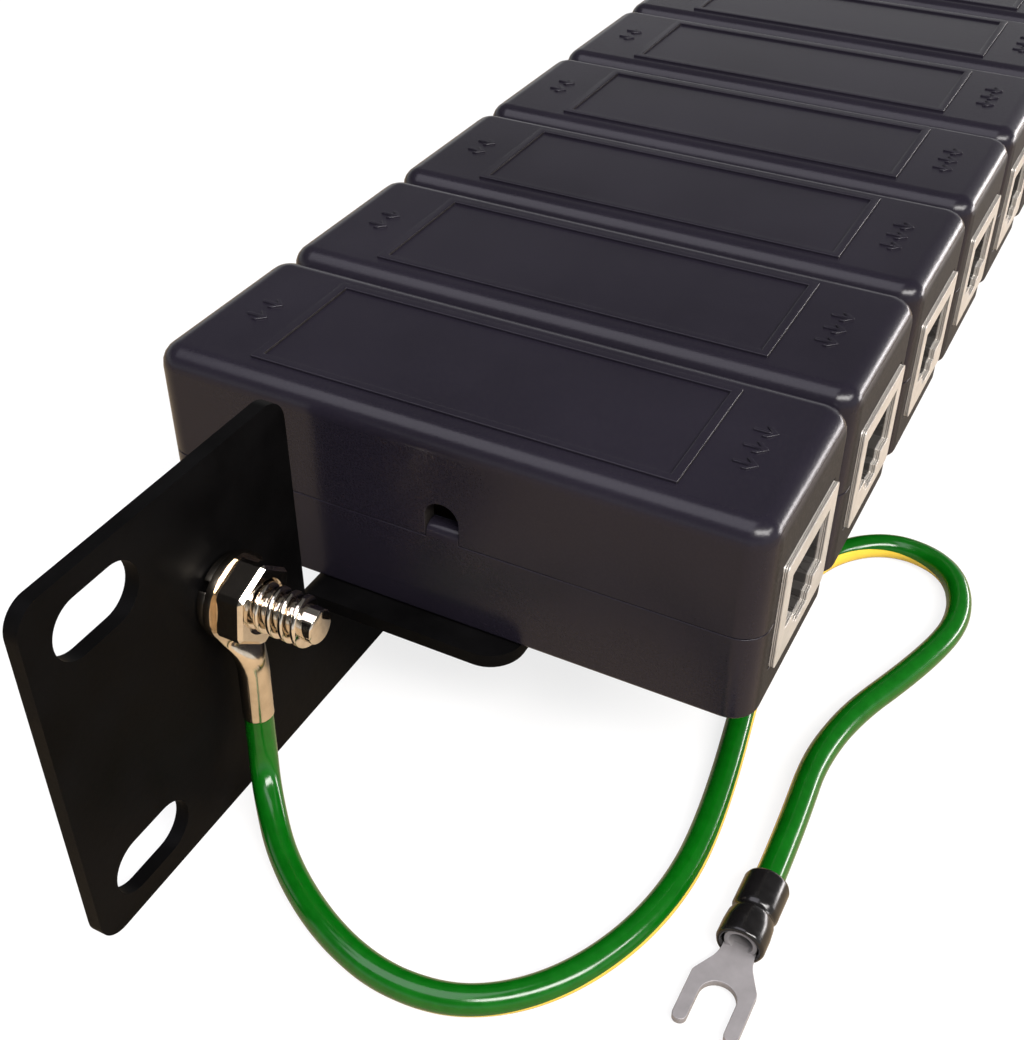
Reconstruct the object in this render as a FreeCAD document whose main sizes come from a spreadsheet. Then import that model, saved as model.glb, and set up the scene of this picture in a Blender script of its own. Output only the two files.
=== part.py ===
import FreeCAD, Part
import math
import os
import re
import Sketcher
from FreeCAD import Placement, Rotation, Vector

# Rack mounted ethernet surge protector: sixteen inline modules on a folded
# 19 inch panel, with a ground stud and its lead on the left ear.
#
# Frame: origin at the middle of the four rack slots, on the panel's back
# face. X runs along the panel, the equipment jacks face -Y, Z is up.
# A module's own frame has X across, Y from its equipment end, Z from its
# underside.

# Driving sizes in millimetres, kept in the document's sheet.
SIZES = (
    ("panel_width", 482.6),
    ("panel_height", 43.66),
    ("panel_thickness", 1.6),
    ("slot_inset", 8.75),
    ("slot_drop", 5.955),
    ("slot_length", 11.0),
    ("slot_width", 6.5),
    ("ear_width", 37.5),
    ("ear_corner", 3.0),
    ("seat_height", 17.7),
    ("flange_depth", 25.0),
    ("flange_corner", 4.0),
    ("bend_radius", 1.0),
    ("module_width", 24.7),
    ("module_gap", 0.4),
    ("row_clearance", 2.0),
    ("module_length", 68.6),
    ("front_overhang", 49.6),
    ("base_height", 10.85),
    ("cover_height", 13.1),
    ("module_corner", 3.0),
    ("top_edge_radius", 2.4),
    ("side_wall", 2.0),
    ("end_wall", 2.0),
    ("roof_thickness", 2.0),
    ("floor_thickness", 2.0),
    ("board_lift", 0.7),
    ("ledge_width", 1.2),
    ("board_thickness", 1.6),
    ("board_clearance", 0.2),
    ("label_length", 49.1),
    ("label_width", 17.9),
    ("label_start", 9.3),
    ("bead_width", 1.0),
    ("bead_height", 0.3),
    ("notch_place", 33.8),
    ("notch_width", 3.9),
    ("notch_height", 4.6),
    ("notch_tongue_height", 1.1),
    ("notch_tongue_clearance", 0.1),
    ("jack_width", 15.9),
    ("jack_height", 13.1),
    ("jack_depth", 16.6),
    ("jack_stand_out", 1.1),
    ("jack_clearance", 0.1),
    ("shield_thickness", 0.4),
    ("socket_width", 11.8),
    ("socket_height", 6.9),
    ("socket_depth", 13.0),
    ("socket_top_margin", 2.3),
    ("latch_width", 6.3),
    ("latch_height", 2.4),
    ("arrester_length", 5.0),
    ("arrester_width", 7.6),
    ("arrester_height", 5.0),
    ("arrester_pitch", 8.6),
    ("arrester_clearance", 3.0),
    ("insert_setback", 14.0),
    ("insert_width", 5.5),
    ("insert_fit", 0.05),
    ("stud_inset", 24.7),
    ("stud_drop", 15.9),
    ("stud_diameter", 5.0),
    ("stud_reach", 11.6),
    ("stud_chamfer", 0.6),
    ("stud_fit", 0.05),
    ("stud_head_diameter", 7.4),
    ("stud_head_height", 0.8),
    ("washer_diameter", 8.6),
    ("washer_thickness", 1.1),
    ("washer_split", 0.9),
    ("nut_width", 8.0),
    ("nut_height", 3.2),
    ("nut_chamfer", 0.55),
    ("tongue_thickness", 0.8),
    ("ring_diameter", 9.3),
    ("neck_root_width", 8.55),
    ("neck_root_drop", 1.77),
    ("neck_width", 4.4),
    ("neck_end", 6.6),
    ("crimp_root_width", 2.3),
    ("barrel_diameter", 3.3),
    ("barrel_start", 9.6),
    ("barrel_end", 15.5),
    ("ring_lean", 2.5),
    ("wire_diameter", 3.5),
    ("wire_fit", 0.03),
    ("sleeve_diameter", 5.0),
    ("sleeve_front_diameter", 4.6),
    ("sleeve_rear_length", 4.5),
    ("sleeve_front_length", 4.0),
    ("sleeve_edge", 0.35),
    ("fork_width", 6.6),
    ("fork_slot", 3.7),
    ("fork_length", 9.4),
    ("fork_shoulder", 3.6),
    ("fork_neck", 3.4),
    ("fork_barrel_reach", 0.8),
)

# Heights and places that several pieces share, as sheet formulas.
SEAT = "(seat_height - panel_height / 2)"
EQUIP_END = "(-panel_thickness - front_overhang)"
INNER_EAR = "(panel_width / 2 - ear_width)"
SLOT_X = "(panel_width / 2 - slot_inset)"
SLOT_Z = "(panel_height / 2 - slot_drop)"
MODULE_PITCH = "(module_width + module_gap)"
ROW_ROOM = f"(2 * {INNER_EAR} - 2 * row_clearance)"
JACK_REACH = "(jack_depth - jack_stand_out + arrester_clearance)"
ARRESTER_ROOM = f"(module_length - 2 * {JACK_REACH} - arrester_length)"
BOARD_SEAT = "(floor_thickness + board_lift)"
JACK_LOW = f"({BOARD_SEAT} + board_thickness)"
INSERT_Y = "(front_overhang - insert_setback)"
STUD_X = "(-panel_width / 2 + stud_inset)"
STUD_Z = "(panel_height / 2 - stud_drop)"

# The ground lead's route, chosen by hand: it leaves the ring terminal
# downwards, lies on the level of the panel's lower edge, passes under the
# first three modules and ends in the fork's sleeve.
WIRE_ROUTE = (
    (-217.276, -4.35, -9.555),
    (-217.472, -4.35, -14.051),
    (-219.90, -6.20, -18.30),
    (-226.40, -11.20, -20.08),
    (-232.30, -19.90, -20.08),
    (-234.60, -29.20, -20.08),
    (-231.90, -38.20, -20.08),
    (-224.30, -45.00, -20.08),
    (-212.90, -48.60, -20.08),
    (-200.20, -48.80, -20.08),
    (-174.50, -44.60, -20.08),
    (-161.80, -44.00, -20.08),
    (-151.00, -46.60, -20.08),
    (-144.60, -53.40, -20.08),
    (-146.00, -61.80, -20.08),
    (-154.20, -66.40, -20.08),
    (-164.80, -65.80, -20.08),
    (-182.80, -60.00, -20.08),
    (-199.60, -57.40, -19.33),
    (-210.00, -57.40, -19.33),
)

# Each arc takes this share of the shorter run beside its corner.
ARC_SHARE = 0.45

# Lengths and angles closer than this count as equal.
TOLERANCE = 1e-4

doc = FreeCAD.newDocument("EthernetSurgeProtector")
sheet = doc.addObject("Spreadsheet::Sheet", "Sizes")
nodes = []


def fill_sheet():
    for row, (name, size) in enumerate(SIZES, 1):
        sheet.set(f"A{row}", name.replace("_", " "))
        sheet.set(f"B{row}", str(size))
        sheet.setAlias(f"B{row}", name)
    doc.recompute()


def linked(formula):
    """Turn a formula of plain names into one that reads the sheet."""
    return re.sub(r"[a-z][a-z_]+", r"Sizes.\g<0>", formula)


def value(formula):
    """Read a formula's present value from the sheet."""
    result = sheet.evalExpression(linked(formula))
    return float(getattr(result, "Value", result))


def module_count():
    """As many modules as the opening between the ears holds."""
    return math.floor(value(f"{ROW_ROOM} / {MODULE_PITCH}"))


def arrester_count():
    """As many arresters as stand between a module's two jacks."""
    return math.floor(value(f"{ARRESTER_ROOM} / arrester_pitch")) + 1


def keep(shape_holder, label):
    """Mark an object as a sub-part that is written to its own file."""
    shape_holder.Label = label
    nodes.append(shape_holder)
    return shape_holder


def place(item, x="0", y="0", z="0"):
    """Bind an object's position to the sheet."""
    for axis, formula in zip("xyz", (x, y, z)):
        item.setExpression(f".Placement.Base.{axis}", linked(formula))


def new_body(name):
    return doc.addObject("PartDesign::Body", name)


def new_sketch(body, role, offset="0"):
    """Add a sketch on an origin plane of its body, moved along its normal."""
    sketch = body.newObject("Sketcher::SketchObject", f"{body.Name}Sketch")
    plane = next(item for item in body.Origin.OriginFeatures if item.Role == role)
    sketch.AttachmentSupport = [(plane, "")]
    sketch.MapMode = "FlatFace"
    sketch.setExpression(".AttachmentOffset.Base.z", linked(offset))
    return sketch


def pin(sketch, geometry, end, x, y):
    """Fix a point of a sketch at two sheet formulas."""
    for kind, formula in (("DistanceX", x), ("DistanceY", y)):
        number = sketch.addConstraint(
            Sketcher.Constraint(kind, -1, 1, geometry, end, value(formula))
        )
        sketch.setExpression(f"Constraints[{number}]", linked(formula))


def add_polygon(sketch, corners):
    """Draw a closed outline through corners that the sheet places."""
    points = [Vector(value(x), value(y), 0) for x, y in corners]
    lines = []
    for start, stop in zip(points, points[1:] + points[:1]):
        lines.append(sketch.addGeometry(Part.LineSegment(start, stop), False))
    for line, following in zip(lines, lines[1:] + lines[:1]):
        sketch.addConstraint(Sketcher.Constraint("Coincident", line, 2, following, 1))
    for line, (x, y) in zip(lines, corners):
        pin(sketch, line, 1, x, y)


def add_rectangle(sketch, left, right, low, high):
    add_polygon(sketch, ((left, low), (right, low), (right, high), (left, high)))


def add_circle(sketch, x, y, radius):
    centre = Vector(value(x), value(y), 0)
    circle = sketch.addGeometry(Part.Circle(centre, Vector(0, 0, 1), value(radius)), False)
    pin(sketch, circle, 3, x, y)
    set_radius(sketch, circle, radius)


def add_slot(sketch, x, y, length, width):
    """Draw a level slot with round ends about a centre."""
    half = f"(({length} - {width}) / 2)"
    radius = value(f"{width} / 2")
    left = Vector(value(f"{x} - {half}"), value(y), 0)
    right = Vector(value(f"{x} + {half}"), value(y), 0)
    rise = Vector(0, radius, 0)
    quarter = math.pi / 2
    shapes = (
        Part.LineSegment(left - rise, right - rise),
        Part.ArcOfCircle(Part.Circle(right, Vector(0, 0, 1), radius), -quarter, quarter),
        Part.LineSegment(right + rise, left + rise),
        Part.ArcOfCircle(Part.Circle(left, Vector(0, 0, 1), radius), quarter, 3 * quarter),
    )
    low, end, high, start = (sketch.addGeometry(shape, False) for shape in shapes)
    joints = ((low, 2, end, 1), (end, 2, high, 1), (high, 2, start, 1), (start, 2, low, 1))
    join_ends(sketch, joints, "Tangent")
    pin(sketch, start, 3, f"{x} - {half}", y)
    pin(sketch, end, 3, f"{x} + {half}", y)
    set_radius(sketch, end, f"{width} / 2")


def join_ends(sketch, joints, kind="Coincident"):
    """Join pairs of geometry ends, each given as (piece, end, piece, end)."""
    for first, first_end, second, second_end in joints:
        sketch.addConstraint(Sketcher.Constraint(kind, first, first_end, second, second_end))


def set_radius(sketch, arc, radius):
    number = sketch.addConstraint(Sketcher.Constraint("Radius", arc, value(radius)))
    sketch.setExpression(f"Constraints[{number}]", linked(radius))


def add_arch(sketch, place, width, low, high):
    """Draw an opening with upright sides and a half round head."""
    left, right = f"{place} - {width} / 2", f"{place} + {width} / 2"
    spring = f"{high} - {width} / 2"
    corners = [Vector(value(x), value(y), 0) for x, y in (
        (left, spring), (left, low), (right, low), (right, spring),
    )]
    centre = Vector(value(place), value(spring), 0)
    circle = Part.Circle(centre, Vector(0, 0, 1), value(f"{width} / 2"))
    shapes = [Part.LineSegment(a, b) for a, b in zip(corners, corners[1:])]
    shapes.append(Part.ArcOfCircle(circle, 0, math.pi))
    down, across, up, head = (sketch.addGeometry(shape, False) for shape in shapes)
    join_ends(sketch, ((down, 2, across, 1), (across, 2, up, 1)))
    join_ends(sketch, ((up, 2, head, 1), (head, 2, down, 1)), "Tangent")
    pin(sketch, down, 2, left, low)
    pin(sketch, across, 2, right, low)
    pin(sketch, head, 3, place, spring)


def add_corner_waste(sketch, side, x, y, radius):
    """Draw what rounding an upper corner takes off; side is 1 or -1 along X."""
    inset_x, inset_y = f"{x} - {side} * {radius}", f"{y} - {radius}"
    along = Vector(value(inset_x), value(y), 0)
    corner = Vector(value(x), value(y), 0)
    down = Vector(value(x), value(inset_y), 0)
    centre = Vector(value(inset_x), value(inset_y), 0)
    circle = Part.Circle(centre, Vector(0, 0, 1), value(radius))
    begin = 0 if side > 0 else math.pi / 2
    level, upright, arc = (sketch.addGeometry(shape, False) for shape in (
        Part.LineSegment(along, corner), Part.LineSegment(corner, down),
        Part.ArcOfCircle(circle, begin, begin + math.pi / 2),
    ))
    first, last = (1, 2) if side > 0 else (2, 1)
    join_ends(sketch, ((level, 2, upright, 1), (upright, 2, arc, first), (level, 1, arc, last)))
    pin(sketch, level, 1, inset_x, y)
    pin(sketch, level, 2, x, y)
    pin(sketch, upright, 2, x, inset_y)
    set_radius(sketch, arc, radius)


def pad(body, sketch, length, reverse=False):
    feature = body.newObject("PartDesign::Pad", f"{body.Name}Pad")
    feature.Profile = sketch
    feature.setExpression("Length", linked(length))
    feature.Reversed = reverse
    doc.recompute()
    return feature


def pocket(body, sketch, length, reverse=False):
    """Cut a sketch into its body and make sure that it took material."""
    before = body.Shape.Volume
    feature = body.newObject("PartDesign::Pocket", f"{body.Name}Pocket")
    feature.Profile = sketch
    feature.setExpression("Length", linked(length))
    feature.Reversed = reverse
    doc.recompute()
    if not body.Shape.Volume < before:
        raise RuntimeError(f"{feature.Name} cut nothing")
    return feature


def finish_edges(body, kind, measure, size, chosen):
    """Dress the edges of a body's last shape that a test picks."""
    base = body.Tip
    edges = [f"Edge{n}" for n, edge in enumerate(base.Shape.Edges, 1) if chosen(edge)]
    feature = body.newObject(f"PartDesign::{kind}", f"{body.Name}{kind}")
    feature.Base = (base, edges)
    feature.setExpression(measure, linked(size))
    doc.recompute()


def round_edges(body, radius, chosen):
    finish_edges(body, "Fillet", "Radius", radius, chosen)


def bevel_edges(body, size, chosen):
    finish_edges(body, "Chamfer", "Size", size, chosen)


def close(first, second):
    return abs(first - second) < TOLERANCE


def runs_along(edge, axis):
    """Say whether an edge is straight and parallel to an axis."""
    box = edge.BoundBox
    spans = {"x": box.XLength, "y": box.YLength, "z": box.ZLength}
    straight = isinstance(edge.Curve, Part.Line)
    return straight and all(close(spans[other], 0) for other in spans if other != axis)


def lies_at_height(edge, height):
    return close(edge.BoundBox.ZMin, height) and close(edge.BoundBox.ZMax, height)


def make_bracket():
    """Fold the panel: two full ears, and a flange under the modules."""
    body = new_body("Bracket")
    low, high = "-panel_height / 2", "panel_height / 2"
    free_edge = "-panel_thickness - flange_depth"
    under = f"{SEAT} - panel_thickness"
    fold = new_sketch(body, "YZ_Plane", f"-{INNER_EAR}")
    add_polygon(fold, (
        ("0", low), ("0", SEAT), (free_edge, SEAT), (free_edge, under),
        ("-panel_thickness", under), ("-panel_thickness", low),
    ))
    pad(body, fold, f"2 * {INNER_EAR}")
    round_edges(body, "bend_radius + panel_thickness", lambda edge: (
        runs_along(edge, "x") and close(edge.BoundBox.YMin, 0)
        and close(edge.BoundBox.ZMin, value(SEAT))
    ))
    round_edges(body, "bend_radius", lambda edge: (
        runs_along(edge, "x") and close(edge.BoundBox.YMin, value("-panel_thickness"))
        and close(edge.BoundBox.ZMin, value(under))
    ))
    round_edges(body, "flange_corner", lambda edge: (
        runs_along(edge, "z") and close(edge.BoundBox.YMin, value(free_edge))
    ))
    ears = new_sketch(body, "XZ_Plane")
    add_rectangle(ears, "-panel_width / 2", f"-{INNER_EAR}", low, high)
    add_rectangle(ears, INNER_EAR, "panel_width / 2", low, high)
    pad(body, ears, "panel_thickness")
    top = value("panel_height / 2")
    outer = value("panel_width / 2")
    round_edges(body, "ear_corner", lambda edge: runs_along(edge, "y") and (
        close(abs(edge.BoundBox.XMin), outer) or close(edge.BoundBox.ZMin, top)
    ))
    slots = new_sketch(body, "XZ_Plane", "panel_thickness")
    for side in (f"-{SLOT_X}", SLOT_X):
        for level in (f"-{SLOT_Z}", SLOT_Z):
            add_slot(slots, side, level, "slot_length", "slot_width")
    add_circle(slots, STUD_X, STUD_Z, "stud_diameter / 2 + stud_fit")
    pocket(body, slots, "panel_thickness")
    recess = new_sketch(body, "XZ_Plane")
    add_circle(recess, STUD_X, STUD_Z, "stud_head_diameter / 2 + stud_fit")
    pocket(body, recess, "stud_head_height", reverse=True)
    return keep(body, "bracket")


def cornered_block(body, low, height):
    """Pad a module's outline with its four upright corners rounded."""
    outline = new_sketch(body, "XY_Plane", low)
    add_rectangle(outline, "-module_width / 2", "module_width / 2", "0", "module_length")
    pad(body, outline, height)
    round_edges(body, "module_corner", lambda edge: runs_along(edge, "z"))


def open_jack_ends(body, low, high):
    """Cut the opening for both jacks through the two end walls."""
    opening = new_sketch(body, "XZ_Plane")
    half = "jack_width / 2 + jack_clearance"
    add_rectangle(opening, f"-({half})", half, low, high)
    pocket(body, opening, "module_length")


def make_cover():
    """Mould a module's upper shell, with its label frame and cable notch."""
    body = new_body("Cover")
    top = "base_height + cover_height"
    cornered_block(body, "base_height", "cover_height")
    shoulders = new_sketch(body, "XZ_Plane")
    add_corner_waste(shoulders, -1, "-module_width / 2", top, "top_edge_radius")
    add_corner_waste(shoulders, 1, "module_width / 2", top, "top_edge_radius")
    pocket(body, shoulders, "module_length")
    cavity = new_sketch(body, "XY_Plane", "base_height")
    half = "module_width / 2 - side_wall"
    add_rectangle(cavity, f"-({half})", half, "end_wall", "module_length - end_wall")
    pocket(body, cavity, "cover_height - roof_thickness", reverse=True)
    open_jack_ends(body, "base_height - side_wall", f"{JACK_LOW} + jack_height + jack_clearance")
    notch = new_sketch(body, "YZ_Plane", "-module_width / 2 + side_wall")
    add_arch(notch, "notch_place", "notch_width", "base_height", "base_height + notch_height")
    pocket(body, notch, "side_wall")
    bead = new_sketch(body, "XY_Plane", top)
    edge = "label_width / 2"
    stop = "label_start + label_length"
    add_rectangle(bead, f"-{edge}", edge, "label_start", stop)
    add_rectangle(
        bead, f"-{edge} + bead_width", f"{edge} - bead_width",
        "label_start + bead_width", f"{stop} - bead_width",
    )
    pad(body, bead, "bead_height")
    return body


def make_base():
    """Mould a module's lower shell, with a ledge for the board."""
    body = new_body("Base")
    cornered_block(body, "0", "base_height")
    upper = new_sketch(body, "XY_Plane", "base_height")
    half = "module_width / 2 - side_wall"
    add_rectangle(upper, f"-({half})", half, "end_wall", "module_length - end_wall")
    pocket(body, upper, f"base_height - {BOARD_SEAT}")
    lower = new_sketch(body, "XY_Plane", BOARD_SEAT)
    narrow = "module_width / 2 - side_wall - ledge_width"
    inset = "end_wall + ledge_width"
    add_rectangle(lower, f"-({narrow})", narrow, inset, f"module_length - ({inset})")
    pocket(body, lower, "board_lift")
    open_jack_ends(body, f"{JACK_LOW} - jack_clearance", "base_height + end_wall")
    hole = new_sketch(body, "XY_Plane", BOARD_SEAT)
    add_insert_outline(hole, "insert_fit")
    pocket(body, hole, BOARD_SEAT)
    tongue = new_sketch(body, "XZ_Plane", "-notch_place - notch_width / 2 + notch_tongue_clearance")
    outside, inside = "-module_width / 2", "-module_width / 2 + side_wall"
    add_polygon(tongue, (
        (outside, "base_height - notch_tongue_height"), (inside, "base_height - notch_tongue_height"),
        (inside, "base_height + notch_tongue_height"), (outside, "base_height"),
    ))
    pad(body, tongue, "notch_width - 2 * notch_tongue_clearance")
    return body


def make_board():
    body = new_body("Board")
    outline = new_sketch(body, "XY_Plane", BOARD_SEAT)
    half = "module_width / 2 - side_wall - board_clearance"
    start = "end_wall + board_clearance"
    add_rectangle(outline, f"-({half})", half, start, f"module_length - ({start})")
    pad(body, outline, "board_thickness")
    return body


def add_socket_outline(sketch):
    """Draw a jack's mouth: the plug's width, with the latch's step below."""
    top = f"({JACK_LOW} + jack_height - socket_top_margin)"
    step = f"({top} - socket_height)"
    low = f"({step} - latch_height)"
    wide, narrow = "socket_width / 2", "latch_width / 2"
    add_polygon(sketch, (
        (f"-{wide}", top), (f"-{wide}", step), (f"-{narrow}", step), (f"-{narrow}", low),
        (narrow, low), (narrow, step), (wide, step), (wide, top),
    ))


def make_jack_shield():
    """Fold a jack's metal shell, open at the back, with the plug's mouth."""
    body = new_body("JackShield")
    front = "jack_stand_out"
    block = new_sketch(body, "XZ_Plane", front)
    half = "jack_width / 2"
    add_rectangle(block, f"-{half}", half, JACK_LOW, f"{JACK_LOW} + jack_height")
    pad(body, block, "jack_depth", reverse=True)
    inside = new_sketch(body, "XZ_Plane", f"{front} - shield_thickness")
    inner = "(jack_width / 2 - shield_thickness)"
    add_rectangle(
        inside, f"-{inner}", inner,
        f"{JACK_LOW} + shield_thickness", f"{JACK_LOW} + jack_height - shield_thickness",
    )
    pocket(body, inside, "jack_depth")
    mouth = new_sketch(body, "XZ_Plane", front)
    add_socket_outline(mouth)
    pocket(body, mouth, "shield_thickness")
    return body


def make_jack_housing():
    """Mould the plastic block inside a jack, with its socket."""
    body = new_body("JackHousing")
    front = "jack_stand_out - shield_thickness"
    block = new_sketch(body, "XZ_Plane", front)
    inner = "(jack_width / 2 - shield_thickness)"
    add_rectangle(
        block, f"-{inner}", inner,
        f"{JACK_LOW} + shield_thickness", f"{JACK_LOW} + jack_height - shield_thickness",
    )
    pad(body, block, "jack_depth - shield_thickness", reverse=True)
    socket = new_sketch(body, "XZ_Plane", front)
    add_socket_outline(socket)
    pocket(body, socket, "socket_depth")
    return body


def make_arresters():
    """Make one module's row of surge arresters, standing on the board."""
    body = new_body("Arresters")
    outline = new_sketch(body, "XY_Plane", JACK_LOW)
    run = f"({arrester_count() - 1} * arrester_pitch)"
    middle = f"module_length / 2 - {run} / 2"
    add_rectangle(
        outline, "-arrester_width / 2", "arrester_width / 2",
        f"{middle} - arrester_length / 2", f"{middle} + arrester_length / 2",
    )
    first = pad(body, outline, "arrester_height")
    row = body.newObject("PartDesign::LinearPattern", "ArresterRow")
    row.Originals = [first]
    axis = next(item for item in body.Origin.OriginFeatures if item.Role == "Y_Axis")
    row.Direction = (axis, [""])
    row.setExpression("Length", linked(run))
    row.Occurrences = arrester_count()
    body.Tip = row
    doc.recompute()
    return body


def add_insert_outline(sketch, fit="0"):
    half = f"(insert_width / 2 + {fit})"
    add_rectangle(sketch, f"-{half}", half, f"{INSERT_Y} - {half}", f"{INSERT_Y} + {half}")


def make_insert():
    """Cut the square metal insert that grounds the board to the flange."""
    body = new_body("Insert")
    block = new_sketch(body, "XY_Plane")
    add_insert_outline(block)
    pad(body, block, BOARD_SEAT)
    return body


def along_row(number):
    """Where a module's middle is along the panel."""
    return f"({number} - {module_count() - 1} / 2) * {MODULE_PITCH}"


def link_to(master, number):
    """Put one more of a moulded piece in module number's place."""
    item = doc.addObject("App::Link", f"{master.Name}Link")
    item.LinkedObject = master
    place(item, along_row(number), EQUIP_END, SEAT)
    return item


def turned_link_to(master, number):
    """The same for the line end: turned half round about the module."""
    item = link_to(master, number)
    item.Placement = Placement(item.Placement.Base, Rotation(Vector(0, 0, 1), 180))
    place(item, along_row(number), f"{EQUIP_END} + module_length", SEAT)
    return item


def keep_row(master, label, make_link=link_to):
    """Gather a piece of every module into one node of separate solids."""
    row = doc.addObject("Part::Compound", f"{master.Name}Row")
    row.Links = [make_link(master, number) for number in range(module_count())]
    return keep(row, label)


def make_modules():
    cover, base = make_cover(), make_base()
    for number in range(module_count()):
        keep(link_to(cover, number), f"module_cover_{number + 1:02d}")
        keep(link_to(base, number), f"module_base_{number + 1:02d}")
    shield, housing = make_jack_shield(), make_jack_housing()
    keep_row(shield, "equip_jack_shields")
    keep_row(shield, "line_jack_shields", turned_link_to)
    keep_row(housing, "equip_jack_housings")
    keep_row(housing, "line_jack_housings", turned_link_to)
    keep_row(make_board(), "circuit_boards")
    keep_row(make_arresters(), "surge_arresters")
    keep_row(make_insert(), "ground_inserts")


def make_stud():
    """Turn the ground stud, clinched flush with the ear's back."""
    body = new_body("Stud")
    head = new_sketch(body, "XZ_Plane")
    add_circle(head, "0", "0", "stud_head_diameter / 2")
    pad(body, head, "stud_head_height")
    shank = new_sketch(body, "XZ_Plane")
    add_circle(shank, "0", "0", "stud_diameter / 2")
    pad(body, shank, "panel_thickness + stud_reach")
    tip = value("-panel_thickness - stud_reach")
    bevel_edges(body, "stud_chamfer", lambda edge: close(edge.BoundBox.YMax, tip))
    place(body, STUD_X, "0", STUD_Z)
    return keep(body, "ground_stud")


def make_lock_washer():
    body = new_body("LockWasher")
    ring = new_sketch(body, "XZ_Plane")
    add_circle(ring, "0", "0", "washer_diameter / 2")
    add_circle(ring, "0", "0", "stud_diameter / 2 + stud_fit")
    pad(body, ring, "washer_thickness")
    split = new_sketch(body, "XZ_Plane")
    half = "washer_split / 2"
    add_rectangle(split, f"-{half}", half, "0", "washer_diameter")
    pocket(body, split, "washer_thickness", reverse=True)
    place(body, STUD_X, "-panel_thickness", STUD_Z)
    return keep(body, "lock_washer")


def make_ring_terminal():
    """Form the lug: a flat ring, a tapering neck and a crimped barrel."""
    body = new_body("RingTerminal")
    tongue = new_sketch(body, "XZ_Plane")
    add_circle(tongue, "0", "0", "ring_diameter / 2")
    pad(body, tongue, "tongue_thickness")
    half = "neck_width / 2"
    neck = new_sketch(body, "XZ_Plane")
    add_polygon(neck, (
        ("-neck_root_width / 2", "-neck_root_drop"), (f"-{half}", "-neck_end"),
        (half, "-neck_end"), ("neck_root_width / 2", "-neck_root_drop"),
    ))
    pad(body, neck, "tongue_thickness")
    flat = new_sketch(body, "XY_Plane", "-neck_end")
    add_rectangle(flat, f"-{half}", half, "-tongue_thickness", "0")
    root = new_sketch(body, "XY_Plane", "-barrel_start")
    reach, middle = "crimp_root_width / 2", "barrel_diameter / 2"
    add_rectangle(root, f"-{reach}", reach, f"-{middle} - {reach}", f"-{middle} + {reach}")
    loft = body.newObject("PartDesign::AdditiveLoft", "NeckLoft")
    loft.Profile = flat
    loft.Sections = [root]
    loft.Ruled = True
    doc.recompute()
    barrel = new_sketch(body, "XY_Plane", "-barrel_start")
    add_circle(barrel, "0", "-barrel_diameter / 2", "barrel_diameter / 2")
    pad(body, barrel, "barrel_end - barrel_start", reverse=True)
    bore = new_sketch(body, "XZ_Plane")
    add_circle(bore, "0", "0", "stud_diameter / 2 + stud_fit")
    pocket(body, bore, "tongue_thickness", reverse=True)
    body.Placement = Placement(Vector(), Rotation(Vector(0, 1, 0), value("ring_lean")))
    place(body, STUD_X, "-panel_thickness - washer_thickness", STUD_Z)
    return keep(body, "ring_terminal")


def make_nut():
    """Cut a hexagon nut with its outer corners chamfered."""
    prism = doc.addObject("Part::Prism", "NutPrism")
    prism.Polygon = 6
    prism.setExpression("Circumradius", linked("nut_width / 2") + " / cos(30 deg)")
    prism.setExpression("Height", linked("nut_height"))
    disc = doc.addObject("Part::Cylinder", "NutDisc")
    disc.setExpression("Radius", linked("nut_width / 2") + " / cos(30 deg)")
    disc.setExpression("Height", linked("nut_height"))
    doc.recompute()
    lens = doc.addObject("Part::Chamfer", "NutLens")
    lens.Base = disc
    size = value("nut_chamfer")
    lens.Edges = [
        (number, size, size) for number, edge in enumerate(disc.Shape.Edges, 1)
        if lies_at_height(edge, disc.Height.Value)
    ]
    corners = doc.addObject("Part::Common", "NutCorners")
    corners.Base, corners.Tool = prism, lens
    bore = doc.addObject("Part::Cylinder", "NutBore")
    bore.setExpression("Radius", linked("stud_diameter / 2 + stud_fit"))
    bore.setExpression("Height", linked("nut_height"))
    nut = doc.addObject("Part::Cut", "Nut")
    nut.Base, nut.Tool = corners, bore
    nut.Placement = Placement(Vector(), Rotation(Vector(1, 0, 0), 90))
    place(nut, STUD_X, "-panel_thickness - washer_thickness - tongue_thickness", STUD_Z)
    return keep(nut, "stud_nut")


def rounded_path(points):
    """Join straight runs by tangent arcs and print each arc's radius."""
    edges = []
    start = points[0]
    radii = []
    for before, corner, after in zip(points, points[1:], points[2:]):
        to_corner, onward = corner - before, after - corner
        shorter = min(to_corner.Length, onward.Length)
        half_turn = to_corner.getAngle(onward) / 2
        if half_turn < TOLERANCE:
            continue
        reach = ARC_SHARE * shorter
        radii.append(reach / math.tan(half_turn))
        to_corner.normalize()
        onward.normalize()
        enter, leave = corner - to_corner * reach, corner + onward * reach
        inward = onward - to_corner
        inward.normalize()
        sag = radii[-1] / math.cos(half_turn) - radii[-1]
        edges.append(Part.LineSegment(start, enter).toShape())
        edges.append(Part.Arc(enter, corner + inward * sag, leave).toShape())
        start = leave
    edges.append(Part.LineSegment(start, points[-1]).toShape())
    print("lead radii:", " ".join(f"{radius:.1f}" for radius in radii))
    return Part.Wire(edges)


def make_wire():
    """Sweep the ground lead's round section along its route."""
    points = [Vector(*point) for point in WIRE_ROUTE]
    path = rounded_path(points)
    radius = value("wire_diameter / 2")
    circle = Part.Circle(points[0], points[1] - points[0], radius)
    tube = path.makePipeShell([Part.Wire(circle.toShape())], True, False)
    expected = math.pi * radius ** 2 * path.Length
    print(f"lead length {path.Length:.1f}, volume {tube.Volume:.1f} against {expected:.1f}")
    wire = doc.addObject("Part::Feature", "Wire")
    wire.Shape = tube
    return keep(wire, "ground_wire")


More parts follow.
